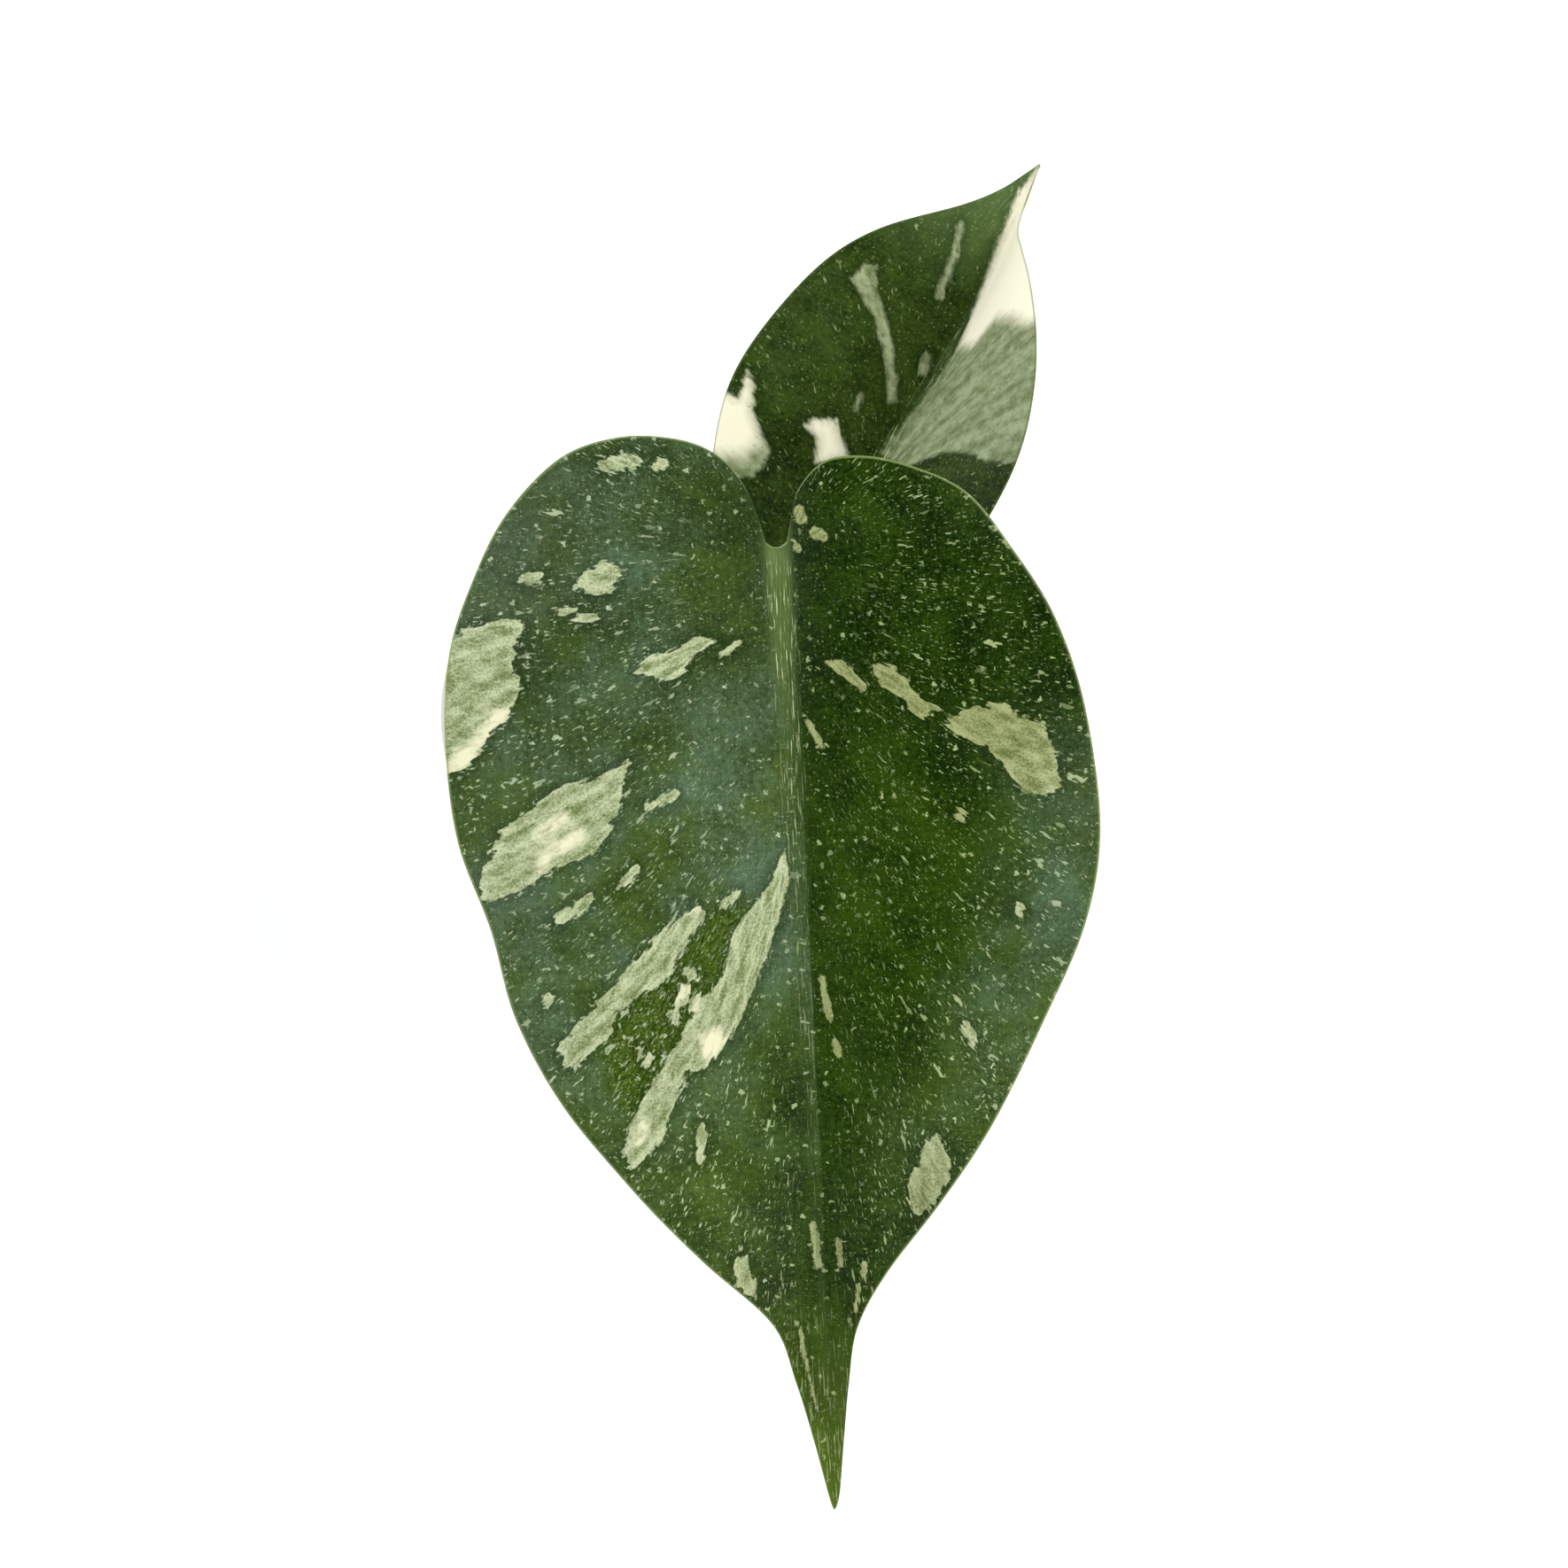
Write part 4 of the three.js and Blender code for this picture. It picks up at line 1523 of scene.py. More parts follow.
@dataclass
class Blade:
    """A heart-shaped blade. In its own frame x runs down the midrib, y across it and z out of its face.

    Heading is turned from -Y towards +X, pitch is the midrib's fall, roll turns about the midrib.
    Margins are (y, x) points from the notch at the stalk, round the lobe, to the drip tip.
    """

    name: str
    node: str
    slot: str
    origin: tuple
    heading: float
    pitch: float
    roll: float
    length: float
    # How far the midrib bows aside and its tip is shifted
    bow: float
    tip_shift: float
    # The midrib's fall and its curve, as shares of the length
    arch: tuple
    # The fold beside the midrib and the margins' droop: each a height and the width that it takes
    shoulder: tuple
    droop: tuple
    # Each half's slope at the stalk, and how much steeper it is at the tip
    slopes: dict
    slope_power: float
    rib_half_width: float
    rib_depth: float
    rib_spread: float
    tip_half_width: float
    thickness: float
    veins: int
    vein_relief: float
    # The margin's waves: their height, and how many there are
    ripple: tuple
    margins: dict
    mint: tuple
    cream: tuple
    olive: tuple
    # Each half's painted sheen: all over, beside the midrib and at the margin
    bloom: dict
    rows: int = 330
    columns: int = 68

    # How far down the midrib a row starts, for its place along the margin, and where the tail begins
    row_straight = 0.05
    row_power = 3.6
    tail_start = 0.94
    # Where a row bends: shares of its way across and along, at the notch and past the lobe
    bend_across = 0.28
    bend_notch = 0.32
    bend_along = 0.58
    bend_settled = 0.35
    # Shares of the midrib's half width where the mesh has a line
    rib_lines = (-1, -0.72, -0.4, 0, 0.4, 0.72, 1)
    # How the midrib narrows, and what is left at the tip, of its width and of the keel's depth and width
    rib_power = 0.9
    rib_left = 0.45
    keel_left = 0.1
    keel_narrow = 0.4
    # How far the lip at the notch is hollowed and rounded down, and over what length that fades
    lip_hollow = 0.9
    lip_drop = 1.1
    lip_fade = 1.8
    # Shares of the margin over which the relief rises at the notch and fades at the tip
    relief_rise = 0.12
    relief_fall = 0.15
    # Distances from the midrib between which the side veins rise, and how narrow they are
    vein_rise = (3, 24)
    vein_power = 6
    # The margin's thickness as a share of the blade's, the width that thins out, and the edge's roundness
    margin_share = 0.55
    margin_width = 6
    edge_bulge = 0.15
    # Widths, as shares of the length: the painted sheen beside the midrib, and where none is painted at the
    # notch and along the lower midrib
    bloom_band = 0.13
    notch_no_sheen = 0.055
    rib_no_sheen = 0.08

    def rotation(self) -> Array:
        """Gives the matrix that turns the blade's own frame into the plant's."""
        roll, pitch, turn = (math.radians(a) for a in (self.roll, self.pitch, self.heading - 90))
        return np.array(Euler((roll, pitch, turn), "XYZ").to_matrix())

    def placed(self, points: Array) -> Array:
        """Moves points from the blade's own frame into the plant's."""
        return points @ self.rotation().T + np.array(self.origin)

    def down(self, x: Array) -> Array:
        """Gives how far down the blade a place is, as a share of its length."""
        return np.clip(x / self.length, 0, 1)

    def midrib(self, x: Array) -> Array:
        """Gives the midrib's sideways place at a distance down the blade."""
        share = self.down(x)
        return self.tip_shift * share**2 + self.bow * 4 * share * (1 - share)

    def rib_half(self, x: Array) -> Array:
        """Gives the midrib's half width at a distance down the blade."""
        narrowed = (1 - self.down(x)) ** self.rib_power
        return self.rib_half_width * narrowed + self.rib_left * self.tip_half_width

    def keel(self, y: Array, x: Array) -> Array:
        """Gives how far a place is on the keel under the midrib, from 1 on it to 0."""
        return bell(y - self.midrib(x), self.rib_spread * lerp(1, self.keel_narrow, self.down(x)))

    def height(self, y: Array, x: Array) -> Array:
        """Gives the upper face's height: arched, folded up from the midrib, and falling to the margins.

        Args:
            y: places across the blade.
            x: the same places' distance down it.

        Returns:
            The heights, in millimetres.
        """
        side = y - self.midrib(x)
        out = np.hypot(side, 1) - 1
        share = x / self.length
        plus, minus = self.slopes[Half.PLUS], self.slopes[Half.MINUS]
        slope, gain = (np.where(side > 0, *pair) for pair in zip(plus, minus))
        arch = -self.length * (self.arch[0] * share + self.arch[1] * share**2)
        shoulder = self.shoulder[0] * (1 - np.exp(-out / self.shoulder[1]))
        droop = self.droop[0] * (out / self.droop[1]) ** 2
        return arch + shoulder - droop + out * (slope + gain * self.down(x) ** self.slope_power)

    def depth(self, y: Array, x: Array) -> Array:
        """Gives the thickness along z: the blade's own, square to its slope, and the keel under it.

        Args:
            y: places across the blade.
            x: the same places' distance down it.

        Returns:
            The thicknesses, in millimetres.
        """
        step = 0.5
        across = (self.height(y + step, x) - self.height(y - step, x)) / (2 * step)
        along = (self.height(y, x + step) - self.height(y, x - step)) / (2 * step)
        taper = lerp(1, self.keel_left, self.down(x) ** 0.8) * smoothstep(x, -6, 0.5)
        own = self.thickness * np.sqrt(1 + across**2 + along**2)
        return own + self.rib_depth * taper * self.keel(y, x)

    def row_starts(self, shares: Array) -> Array:
        """Gives how far down the midrib each row starts; the midrib runs out to the very tip.

        Args:
            shares: each row's place along the margin, from 0 to 1.

        Returns:
            The distances.
        """
        tail = self.margins[Half.PLUS][-1][1] - self.length
        starts = self.length * lerp(shares**self.row_power, shares, self.row_straight)
        return starts + tail * smoothstep(shares, self.tail_start, 1)

    def half(self, side: Half, shares: Array) -> dict:
        """Lays out one half of the blade in rows that follow its veins.

        Args:
            side: which half.
            shares: each row's place along the margin, from 0 to 1.

        Returns:
            Grids of y, x, relief, and the fields that the finish reads, from the midrib outwards.
        """
        start = self.row_starts(shares)
        begin = np.stack([self.midrib(start) + side.value * self.rib_half(start), start], -1)
        edge = catmull_rom(self.margins[side])
        end = spaced(edge, shares)
        along = lerp(self.bend_notch, self.bend_along, smoothstep(shares, 0, self.bend_settled))
        bend = lerp(begin, end, np.stack([np.full_like(along, self.bend_across), along], -1))
        out = (np.arange(self.columns) + 1) / self.columns
        points = bent(begin[:, None], bend[:, None], end[:, None], out[None, :, None])
        steps = np.linalg.norm(np.diff(np.concatenate([begin[:, None], points], 1), axis=1), axis=-1)
        walk = np.cumsum(steps, axis=1)
        share = shares[:, None]
        vein = 0.5 + 0.5 * np.cos(math.tau * self.veins * share)
        swing = self.ripple[0] * np.sin(math.tau * self.ripple[1] * share + side.value)
        fade = smoothstep(share, 0, self.relief_rise) * smoothstep(1 - share, 0, self.relief_fall)
        sunk = self.vein_relief * vein * smoothstep(walk, *self.vein_rise) * np.sin(math.pi * out)
        return {
            "y": points[..., 0],
            "x": points[..., 1],
            "relief": fade * (swing * out**3 - sunk),
            "across": np.broadcast_to(share * walked(edge)[-1], walk.shape),
            "along": side.value * (walk + self.rib_half(start)[:, None]),
            "rim": walk[:, -1:] - walk,
            "vein": vein**self.vein_power * fade * np.sin(math.pi * np.minimum(1, out * 1.1)) ** 0.5,
        }

    def grid(self) -> dict:
        """Lays out the whole blade, from one margin across the midrib to the other.

        Returns:
            The same grids as for a half.
        """
        shares = np.linspace(0, 1, self.rows + 1)
        minus, plus = self.half(Half.MINUS, shares), self.half(Half.PLUS, shares)
        start = self.row_starts(shares)[:, None]
        lines = np.array(self.rib_lines)[None, :]
        none = np.zeros((len(shares), len(self.rib_lines)))
        lip = (1 - lines**2) * np.exp(-start / self.lip_fade)
        rib = {
            "y": self.midrib(start) + lines * self.rib_half(start),
            "x": start + self.lip_hollow * lip,
            "relief": -self.lip_drop * lip,
            "across": shares[:, None] * plus["across"][-1, -1] + none,
            "along": lines * self.rib_half(start),
            "rim": np.minimum(start, 9) + none,
            "vein": none,
        }
        return {key: np.hstack([minus[key][:, ::-1], rib[key], plus[key]]) for key in rib}

    def spread(self, grid: dict) -> Array:
        """Gives how far apart the rows are, against their distance at the margin.

        Args:
            grid: the blade's layout.

        Returns:
            1 where they are well apart, faded to 0 where they crowd together.
        """
        place = np.stack([grid["y"], grid["x"]], -1)
        down, out = np.gradient(place, axis=0), unit(np.gradient(place, axis=1))
        apart = np.abs(down[..., 0] * out[..., 1] - down[..., 1] * out[..., 0])
        step = np.abs(np.gradient(grid["across"], axis=0))
        return smoothstep(apart / np.maximum(step, TINY), 0.25, 0.6)

    def fields(self, grid: dict) -> dict:
        """Works out what the finish reads at each place of the blade.

        Args:
            grid: the blade's layout.

        Returns:
            The fields by name, in the layout's grid.
        """
        y, x, vein = grid["y"], grid["x"], grid["vein"]
        none = np.zeros_like(x)
        share = self.down(x)
        off = np.abs(y - self.midrib(x)) / self.rib_half(x)
        drawn = {"mint": self.mint, "cream": self.cream, "olive": self.olive}
        marks = {key: np.max([mark.reach(y, x) for mark in some], axis=0) for key, some in drawn.items()}
        # Paler along the side veins and in the upper half of the blade
        paler = 0.2 * vein + 0.3 * smoothstep(share, 0.12, 0.3) - 0.2 * smoothstep(share, 0.45, 0.7) - 0.2
        return {
            "flat": np.stack([y, x, none], -1),
            "lineage": np.stack([grid["across"], grid["along"], none], -1),
            "spread": self.spread(grid),
            "vein": vein,
            "keel": self.keel(y, x) * lerp(1, 0.6, share),
            "paler": paler,
            # The pale margin is wider round the lobes
            "rim": grid["rim"] * lerp(0.7, 1, smoothstep(x, -12, 2)),
            # The midrib is furrowed in its upper half, where painted shade darkens the furrows
            "lined": smoothstep(x, 1, 6) * (1 - smoothstep(share, 0.5, 0.75)),
            "down": share,
            "rib": (1 - smoothstep(off, 0.5, 1.8)) * lerp(0.9, 0.3, smoothstep(share, 0, 0.45)),
            "lip": 1 - smoothstep(share, 0, 0.3),
            # Painted sheen, standing in for light gleaming on the wax
            "bloom": self.painted_sheen_at(y - self.midrib(x), x, grid["rim"]),
            # More flecks in the mottle
            "busy": 0.45 * smoothstep(marks["olive"], -2, 2),
            **marks,
        }

    def painted_sheen_at(self, side: Array, x: Array, rim: Array) -> Array:
        """Gives how much painted sheen lies on the blade.

        Args:
            side: places across the blade, from the midrib.
            x: the same places' distance down it.
            rim: their distance from the margin.

        Returns:
            The painted sheen, from 0 to 1.
        """
        halves = zip(self.bloom[Half.PLUS], self.bloom[Half.MINUS])
        even, beside, outer = (np.where(side > 0, plus, minus) for plus, minus in halves)
        share = x / self.length
        near = bell(side, self.bloom_band * self.length) * hump(share, rises=(0.02, 0.2), falls=(0.45, 0.8))
        margin = (1 - smoothstep(rim, 4, 26)) * hump(share, rises=(0.12, 0.38), falls=(0.5, 0.8))
        # No painted sheen round the notch, along the lower midrib and at the drip tip
        notch = bell(np.hypot(side, x + 5), self.notch_no_sheen * self.length)
        lower = 0.8 * smoothstep(share, 0.3, 0.55) * bell(side, self.rib_no_sheen * self.length)
        kept = (1 - smoothstep(share, 0.7, 0.92)) * (1 - notch) * (1 - lower)
        return even * kept + beside * near + outer * margin

    def build(self, finish: LeafSkin) -> None:
        """Makes the blade, thinned out to its margin, and dresses it.

        Args:
            finish: its finish.
        """
        grid = self.grid()
        y, x = grid["y"], grid["x"]
        upper = self.height(y, x) + grid["relief"]
        thinned = lerp(self.margin_share, 1, smoothstep(grid["rim"], 0, self.margin_width))
        lower = upper - self.depth(y, x) * thinned
        faces = [self.placed(np.stack([x, y, z], -1)) for z in (upper, lower)]
        dress(sheet(self.name, *faces, self.edge_bulge, self.fields(grid)), finish, self.slot, self.node)


@dataclass
class Stalk:
    """A leaf's stalk: a gutter open to the stem, narrowing to a grooved stalk, swollen under the blade.

    Stations are (share of the way up, gutter radius, back thickness, edge thickness, half wrap in degrees).
    """

    name: str
    node: str
    blade: Blade
    # The way that its back faces, at its foot and at its top, in degrees
    facing: tuple
    # Where its middle runs: points in the plant's frame, then points in the blade's own
    path: tuple
    under_blade: tuple
    stations: tuple
    rows: int = 170
    sides: int = 44

    # Shares of the way up where it turns, its back drops under the blade, and shade is painted on the knee
    turns = (0.15, 0.85)
    drops = (0.86, 0.97)
    darkens = (0.85, 0.9)
    knee_shade = 0.85
    edge_bulge = 0.12

    def section(self, shares: Array) -> Array:
        """Gives the section's four numbers at shares of the way up.

        Args:
            shares: the shares.

        Returns:
            The numbers, one row for each share.
        """
        stations = np.array(self.stations, float)
        after = np.clip(np.searchsorted(stations[:, 0], shares - TINY), 1, len(stations) - 1)
        low, high = stations[after - 1], stations[after]
        blend = smoothstep((shares - low[:, 0]) / (high[:, 0] - low[:, 0]), 0, 1)
        return lerp(low, high, blend[:, None])[:, 1:]

    def build(self, finish: StalkSkin) -> None:
        """Makes the stalk and dresses it.

        Args:
            finish: its finish.
        """
        curve = centripetal([*self.path, *self.blade.placed(np.array(self.under_blade, float))])
        shares = np.linspace(0, 1, self.rows + 1)
        centre = spaced(curve, shares)
        down, below = (self.blade.rotation() @ np.array(way) for way in ((1, 0, 0), (0, 0, -1)))
        along = unit(np.gradient(centre, axis=0))
        along[0] = (0, 0, 1)
        along[-1] = down
        facing = np.radians(lerp(*self.facing, smoothstep(shares, *self.turns)))
        away = np.stack([np.cos(facing), np.sin(facing), np.zeros_like(facing)], -1)
        away = lerp(away, below, smoothstep(shares, *self.drops)[:, None])
        away = unit(away - along * np.sum(away * along, -1, keepdims=True))
        across = np.cross(along, away)
        gutter, back, edge, wrap = self.section(shares).T[:, :, None]
        k = np.linspace(-1, 1, self.sides + 1)[None, :]
        turn = k * np.radians(wrap)
        outer = gutter + lerp(edge, back, np.cos(k * math.pi / 2))
        faces = [
            centre[:, None]
            + away[:, None] * (reach * np.cos(turn))[..., None]
            + across[:, None] * (reach * np.sin(turn))[..., None]
            for reach in (gutter + 0 * k, outer)
        ]
        climb = walked(centre)[:, None] + 0 * k
        grain = np.stack([turn * (outer + 0.5), climb, 0 * climb], -1)
        # Painted shade on the knee, in the blade's shadow
        end = self.knee_shade * smoothstep(shares, *self.darkens)[:, None] + 0 * k
        made = sheet(self.name, *faces, self.edge_bulge, {"grain": grain, "end": end})
        dress(made, finish, "leaf_stalk", self.node)


# The studio


@dataclass(frozen=True)
class SoftLight:
    """A broad even light from far off, such as an overcast window, by its azimuth and elevation."""

    title: str
    azimuth: float
    elevation: float
    spread: float
    strength: float
    colour: str = "#FFFFFF"

    def build(self) -> None:
        """Makes the light and turns it to the plant."""
        a, e = math.radians(self.azimuth), math.radians(self.elevation)
        out = Vector((math.sin(a) * math.cos(e), -math.cos(a) * math.cos(e), math.sin(e)))
        data = bpy.data.lights.new(self.title, "SUN")
        data.angle = math.radians(self.spread)
        data.energy = self.strength
        data.color = linear(self.colour)[:3]
        light = bpy.data.objects.new(self.title, data)
        light.location = out
        light.rotation_euler = (-out).to_track_quat("-Z", "Y").to_euler()
        bpy.context.scene.collection.objects.link(light)


@dataclass
class Studio:
    """A pale paper floor, soft lights and a camera that looks steeply down on the plant."""

    # The floor's radius, in metres
    floor_radius: float = 40.0
    # The camera's place, in millimetres, and the angle that it looks down at
    eye: tuple = (25.1, -249.3, 580.6)
    looks_down: float = 65
    field: float = 35
    sensor: float = 36
    # The room: bright walls, a dim ceiling, and the rises between which one turns into the other
    room: str = "#F6F8FB"
    wall_light: float = 1.1
    ceiling_light: float = 0.05
    wall_top: float = 0.15
    ceiling_edge: float = 0.5
    lights: tuple = (
        SoftLight("window_right", azimuth=98, elevation=40, spread=36, strength=2.1, colour="#FFFDF8"),
        SoftLight("window_left", azimuth=-82, elevation=54, spread=40, strength=1.5, colour="#F8FAFF"),
        SoftLight("window_behind", azimuth=-150, elevation=45, spread=40, strength=0.95),
    )

    def camera(self) -> None:
        """Makes the camera."""
        data = bpy.data.cameras.new("camera")
        data.sensor_width = self.sensor
        data.lens = self.sensor / 2 / math.tan(math.radians(self.field / 2))
        camera = bpy.data.objects.new("camera", data)
        camera.location = Vector(self.eye) * MM
        camera.rotation_euler = (math.radians(90 - self.looks_down), 0, 0)
        bpy.context.scene.collection.objects.link(camera)
        bpy.context.scene.camera = camera

    def floor(self, paper: Paper) -> None:
        """Lays the paper.

        Args:
            paper: its finish.
        """
        angle = np.linspace(0, math.tau, 96, endpoint=False)
        edge = self.floor_radius / MM * np.stack([np.cos(angle), np.sin(angle), 0 * angle], -1)
        floor = mesh_object("paper_floor", edge, [list(range(len(edge)))])
        floor.data.materials.append(paper.material())

    def walls(self) -> None:
        """Lights the room around the plant."""
        world = bpy.data.worlds.new("room")
        world.use_nodes = True
        tree = world.node_tree
        backdrop = tree.nodes["Background"]
        rise = add(tree, SPLIT_PLACE, add(tree, PLACE).outputs["Generated"]).outputs["Z"]
        rises = {"from_min": self.wall_top, "from_max": self.ceiling_edge}
        fall = add(tree, RANGE, rise, **rises, to_min=self.wall_light, to_max=self.ceiling_light)
        feed(tree, backdrop.inputs["Color"], self.room)
        feed(tree, backdrop.inputs["Strength"], fall)
        bpy.context.scene.world = world
        bpy.context.scene.view_settings.view_transform = "Standard"

    def build(self, paper: Paper) -> None:
        """Makes the floor, the lights, the room and the camera.

        Args:
            paper: the floor's finish.
        """
        self.floor(paper)
        for light in self.lights:
            light.build()
        self.walls()
        self.camera()


# The plant's two blades


LARGE_MARGINS = {
    Half.MINUS: (
        (-2.5, -3.2), (-4.8, -9.6), (-9.2, -15.1), (-16, -18), (-25.5, -18.7), (-35.2, -15.8),
        (-44.6, -7.2), (-51, 3.8), (-55.5, 15.3), (-57.3, 30), (-56.4, 46.4), (-51.7, 61.5),
        (-48.6, 76.7), (-41.9, 92.2), (-31.6, 106.8), (-20.5, 120.5), (-9.2, 134.2), (-5.6, 146),
        (-3, 158), (-1, 169), (-0.2, 172.6),
    ),
    Half.PLUS: (
        (2.6, -2.8), (3.9, -8.1), (8.6, -12.7), (15.2, -13.2), (23.1, -11.1), (32, -6.2), (38.8, 3.3),
        (45.5, 15.4), (50, 31), (51.2, 50.5), (47.7, 66.7), (40.1, 82.7), (30.8, 98.9), (20.5, 113.6),
        (11, 126.5), (5.6, 136.5), (3.6, 147), (2.2, 159), (1.1, 169), (0.2, 172.6),
    ),
}
LARGE_MINT = (
    # At the left margin, below the widest lobe
    Patch((
        (-59, 16), (-53, 11.5), (-46.5, 9.5), (-42.5, 10.5), (-45.5, 17), (-43.5, 21), (-46, 25.5),
        (-50, 29.5), (-53.5, 34), (-59, 35),
    )),
    # The large one inward of it
    Patch((
        (-27, 34.5), (-28.5, 41), (-32.5, 49), (-40.5, 51.5), (-44, 54), (-51, 57), (-53.5, 56),
        (-52, 51), (-49, 45), (-44.5, 42.5), (-41, 39), (-33, 37),
    )),
    # Near the midrib, high on the left
    Patch((
        (-25, 20), (-23, 17.5), (-18, 16.5), (-13.5, 14.5), (-11, 15.5), (-16, 18.5), (-17, 21),
        (-20, 21.5),
    )),
    Patch(((-33.5, 5), (-32, 2.5), (-29, 1.5), (-25.5, 3), (-28, 6.5), (-31.5, 6.5))),
    # The long streak that starts at the midrib
    Patch((
        (-2, 51), (-1.5, 56), (-3.5, 62), (-8.5, 74), (-13.5, 83), (-18.5, 87.5), (-21, 87),
        (-22.5, 91.5), (-26.5, 100), (-31, 103.5), (-32.5, 101), (-30, 94), (-24, 85), (-19.5, 78.5),
        (-14, 72), (-11, 63.5), (-5, 57),
    )),
    # The shorter one beside it
    Patch((
        (-17, 59), (-16, 60.5), (-20, 66.5), (-22.5, 71), (-32, 76.5), (-33, 79.5), (-36.5, 83),
        (-41, 85.5), (-42, 81.5), (-35, 75), (-32, 71.5), (-27, 67), (-24.5, 64),
    )),
    # On the right half, from the midrib out to the margin
    Patch(((6.5, 20), (9.5, 20), (13.5, 24.5), (12.5, 25.5), (8.5, 22))),
    Patch(((14.5, 21), (18, 21.5), (21, 26), (25, 29), (21.5, 31), (19.5, 27.5), (15, 24))),
    Patch((
        (26.5, 31), (31, 29.5), (36, 28.5), (39, 32), (42.5, 32.5), (44, 38), (45, 43.5), (42.5, 45),
        (38, 43.5), (35, 38.5), (31, 35), (26.5, 33),
    )),
    Patch(((20.5, 101), (23.5, 107), (20, 113), (17.5, 116), (16, 115), (15.5, 109.5), (18, 104))),
    # At the foot of the left margin
    Patch(((-13.4, 119), (-12.2, 124), (-11.4, 130), (-14.6, 126), (-15, 121.5))),
    # Dashes and dots of the left half
    Dash((-42, 3.2), (-40, 3.2), 2.2),
    Dash((-36.5, 9.3), (-34.5, 8.8), 1.5),
    Dash((-33, 10.6), (-31, 10.4), 1.7),
    Dash((-27.5, -14.4), (-22.5, -14.8), 2.2),
    Dash((-19, -14), (-17.8, -14), 1.8),
    Dash((-10.5, 18), (-7.5, 16.2), 0.9),
    Dash((-24, 42), (-20, 40.5), 1.6),
    Dash((-39.8, 60), (-34.8, 57), 1.9),
    Dash((-29.5, 55.3), (-27.2, 52.5), 1.4),
    Dash((-13, 59.6), (-10.5, 58), 1.3),
    Dash((-19.8, 103), (-18.8, 97), 1.5),
    Dash((-43.6, 74.5), (-42.6, 73), 1.2),
    # The broken flecks between the two streaks
    Dash((-21, 75), (-20.3, 73.2), 2.2),
    Dash((-18.7, 76.6), (-17.8, 75), 1.8),
    Dash((-22.5, 78.4), (-21.9, 77), 1.5),
    Dash((-19.6, 70), (-18.2, 71.8), 1.2),
    Dash((-27.4, 86), (-26.6, 84.2), 0.9),
    Dash((-28.3, 83.8), (-27.8, 82.8), 0.7),
    # Dashes and dots of the right half
    Dash((26.6, 83), (27.6, 85.6), 1.9),
    Dash((36.3, 63.6), (36.7, 64), 1.9),
    Dash((27.4, 46.8), (27.8, 47.2), 1.7),
    Dash((2.8, 73), (3.9, 80.5), 1.1),
    Dash((4.5, 84.5), (5.1, 86.5), 1.4),
    Dash((3.2, 30), (5.2, 34), 1.1),
    Dash((4, -4.9), (4.4, -3.6), 1.9),
    Dash((6.4, -1.2), (7.6, -0.6), 1.9),
    Dash((3.1, 0.8), (3.4, 1.4), 1.1),
    # Streaks towards the drip tip
    Dash((-1, 117), (-0.4, 125), 1.3),
    Dash((3, 120), (3.3, 124.5), 1.0),
    Dash((7.6, 124.5), (5.2, 133.5), 0.9),
    Dash((-4.4, 136), (-3.4, 144), 0.6),
    Dash((-3.4, 144), (-2.2, 152), 0.4),
)
LARGE_CREAM = (
    Patch((
        (-45.7, 24.2), (-46.7, 26.8), (-49.8, 29.3), (-51.8, 31.5), (-54, 35), (-58, 35), (-56, 31.5),
        (-53.2, 30.3), (-50.7, 27.6), (-48.9, 24.8),
    )),
    Dash((-42.6, 46.2), (-38.4, 43.2), 1.7),
    Dash((-42.5, 50.4), (-36, 46), 2.0),
    Patch(((-18.5, 81.5), (-15, 80), (-13.5, 82.5), (-17.5, 86.5))),
    Dash((-21, 75), (-20.3, 73.2), 1.5),
    Dash((-18.7, 76.6), (-17.8, 75), 0.8),
    Dash((-18.5, 59.8), (-17.5, 59), 1.2),
    Dash((-29.5, 99), (-28.5, 96), 1.2),
)
LARGE_OLIVE = (
    Patch((
        (-9, 60), (-15, 59), (-20, 66), (-25, 71), (-32, 77), (-35, 83), (-34, 90), (-31, 95), (-27, 93),
        (-22, 87), (-18, 79), (-12, 70),
    )),
)


def large_blade() -> Blade:
    """Describes the large blade, which hangs over the pot's front.

    Returns:
        The blade.
    """
    slope = (0.035, 0.214)
    return Blade(
        name="large_blade",
        node="leaf_large",
        slot="large_blade",
        origin=(23.9, -38.9, 224.1),
        heading=4.2,
        pitch=30,
        roll=0,
        length=171.3,
        bow=0,
        tip_shift=0,
        arch=(-0.07, 0.176),
        shoulder=(3, 12),
        droop=(9, 55),
        slopes={Half.PLUS: slope, Half.MINUS: slope},
        slope_power=1.5,
        rib_half_width=1.7,
        rib_depth=3.5,
        rib_spread=2.9,
        tip_half_width=0.2,
        thickness=0.75,
        veins=8,
        vein_relief=0.5,
        ripple=(1, 4.5),
        margins=LARGE_MARGINS,
        mint=LARGE_MINT,
        cream=LARGE_CREAM,
        olive=LARGE_OLIVE,
        # Painted sheen on each half: all over, beside the midrib and at the margin
        bloom={Half.PLUS: (0.0, 0.0, 0.8), Half.MINUS: (0.85, 0.15, 0.0)},
    )


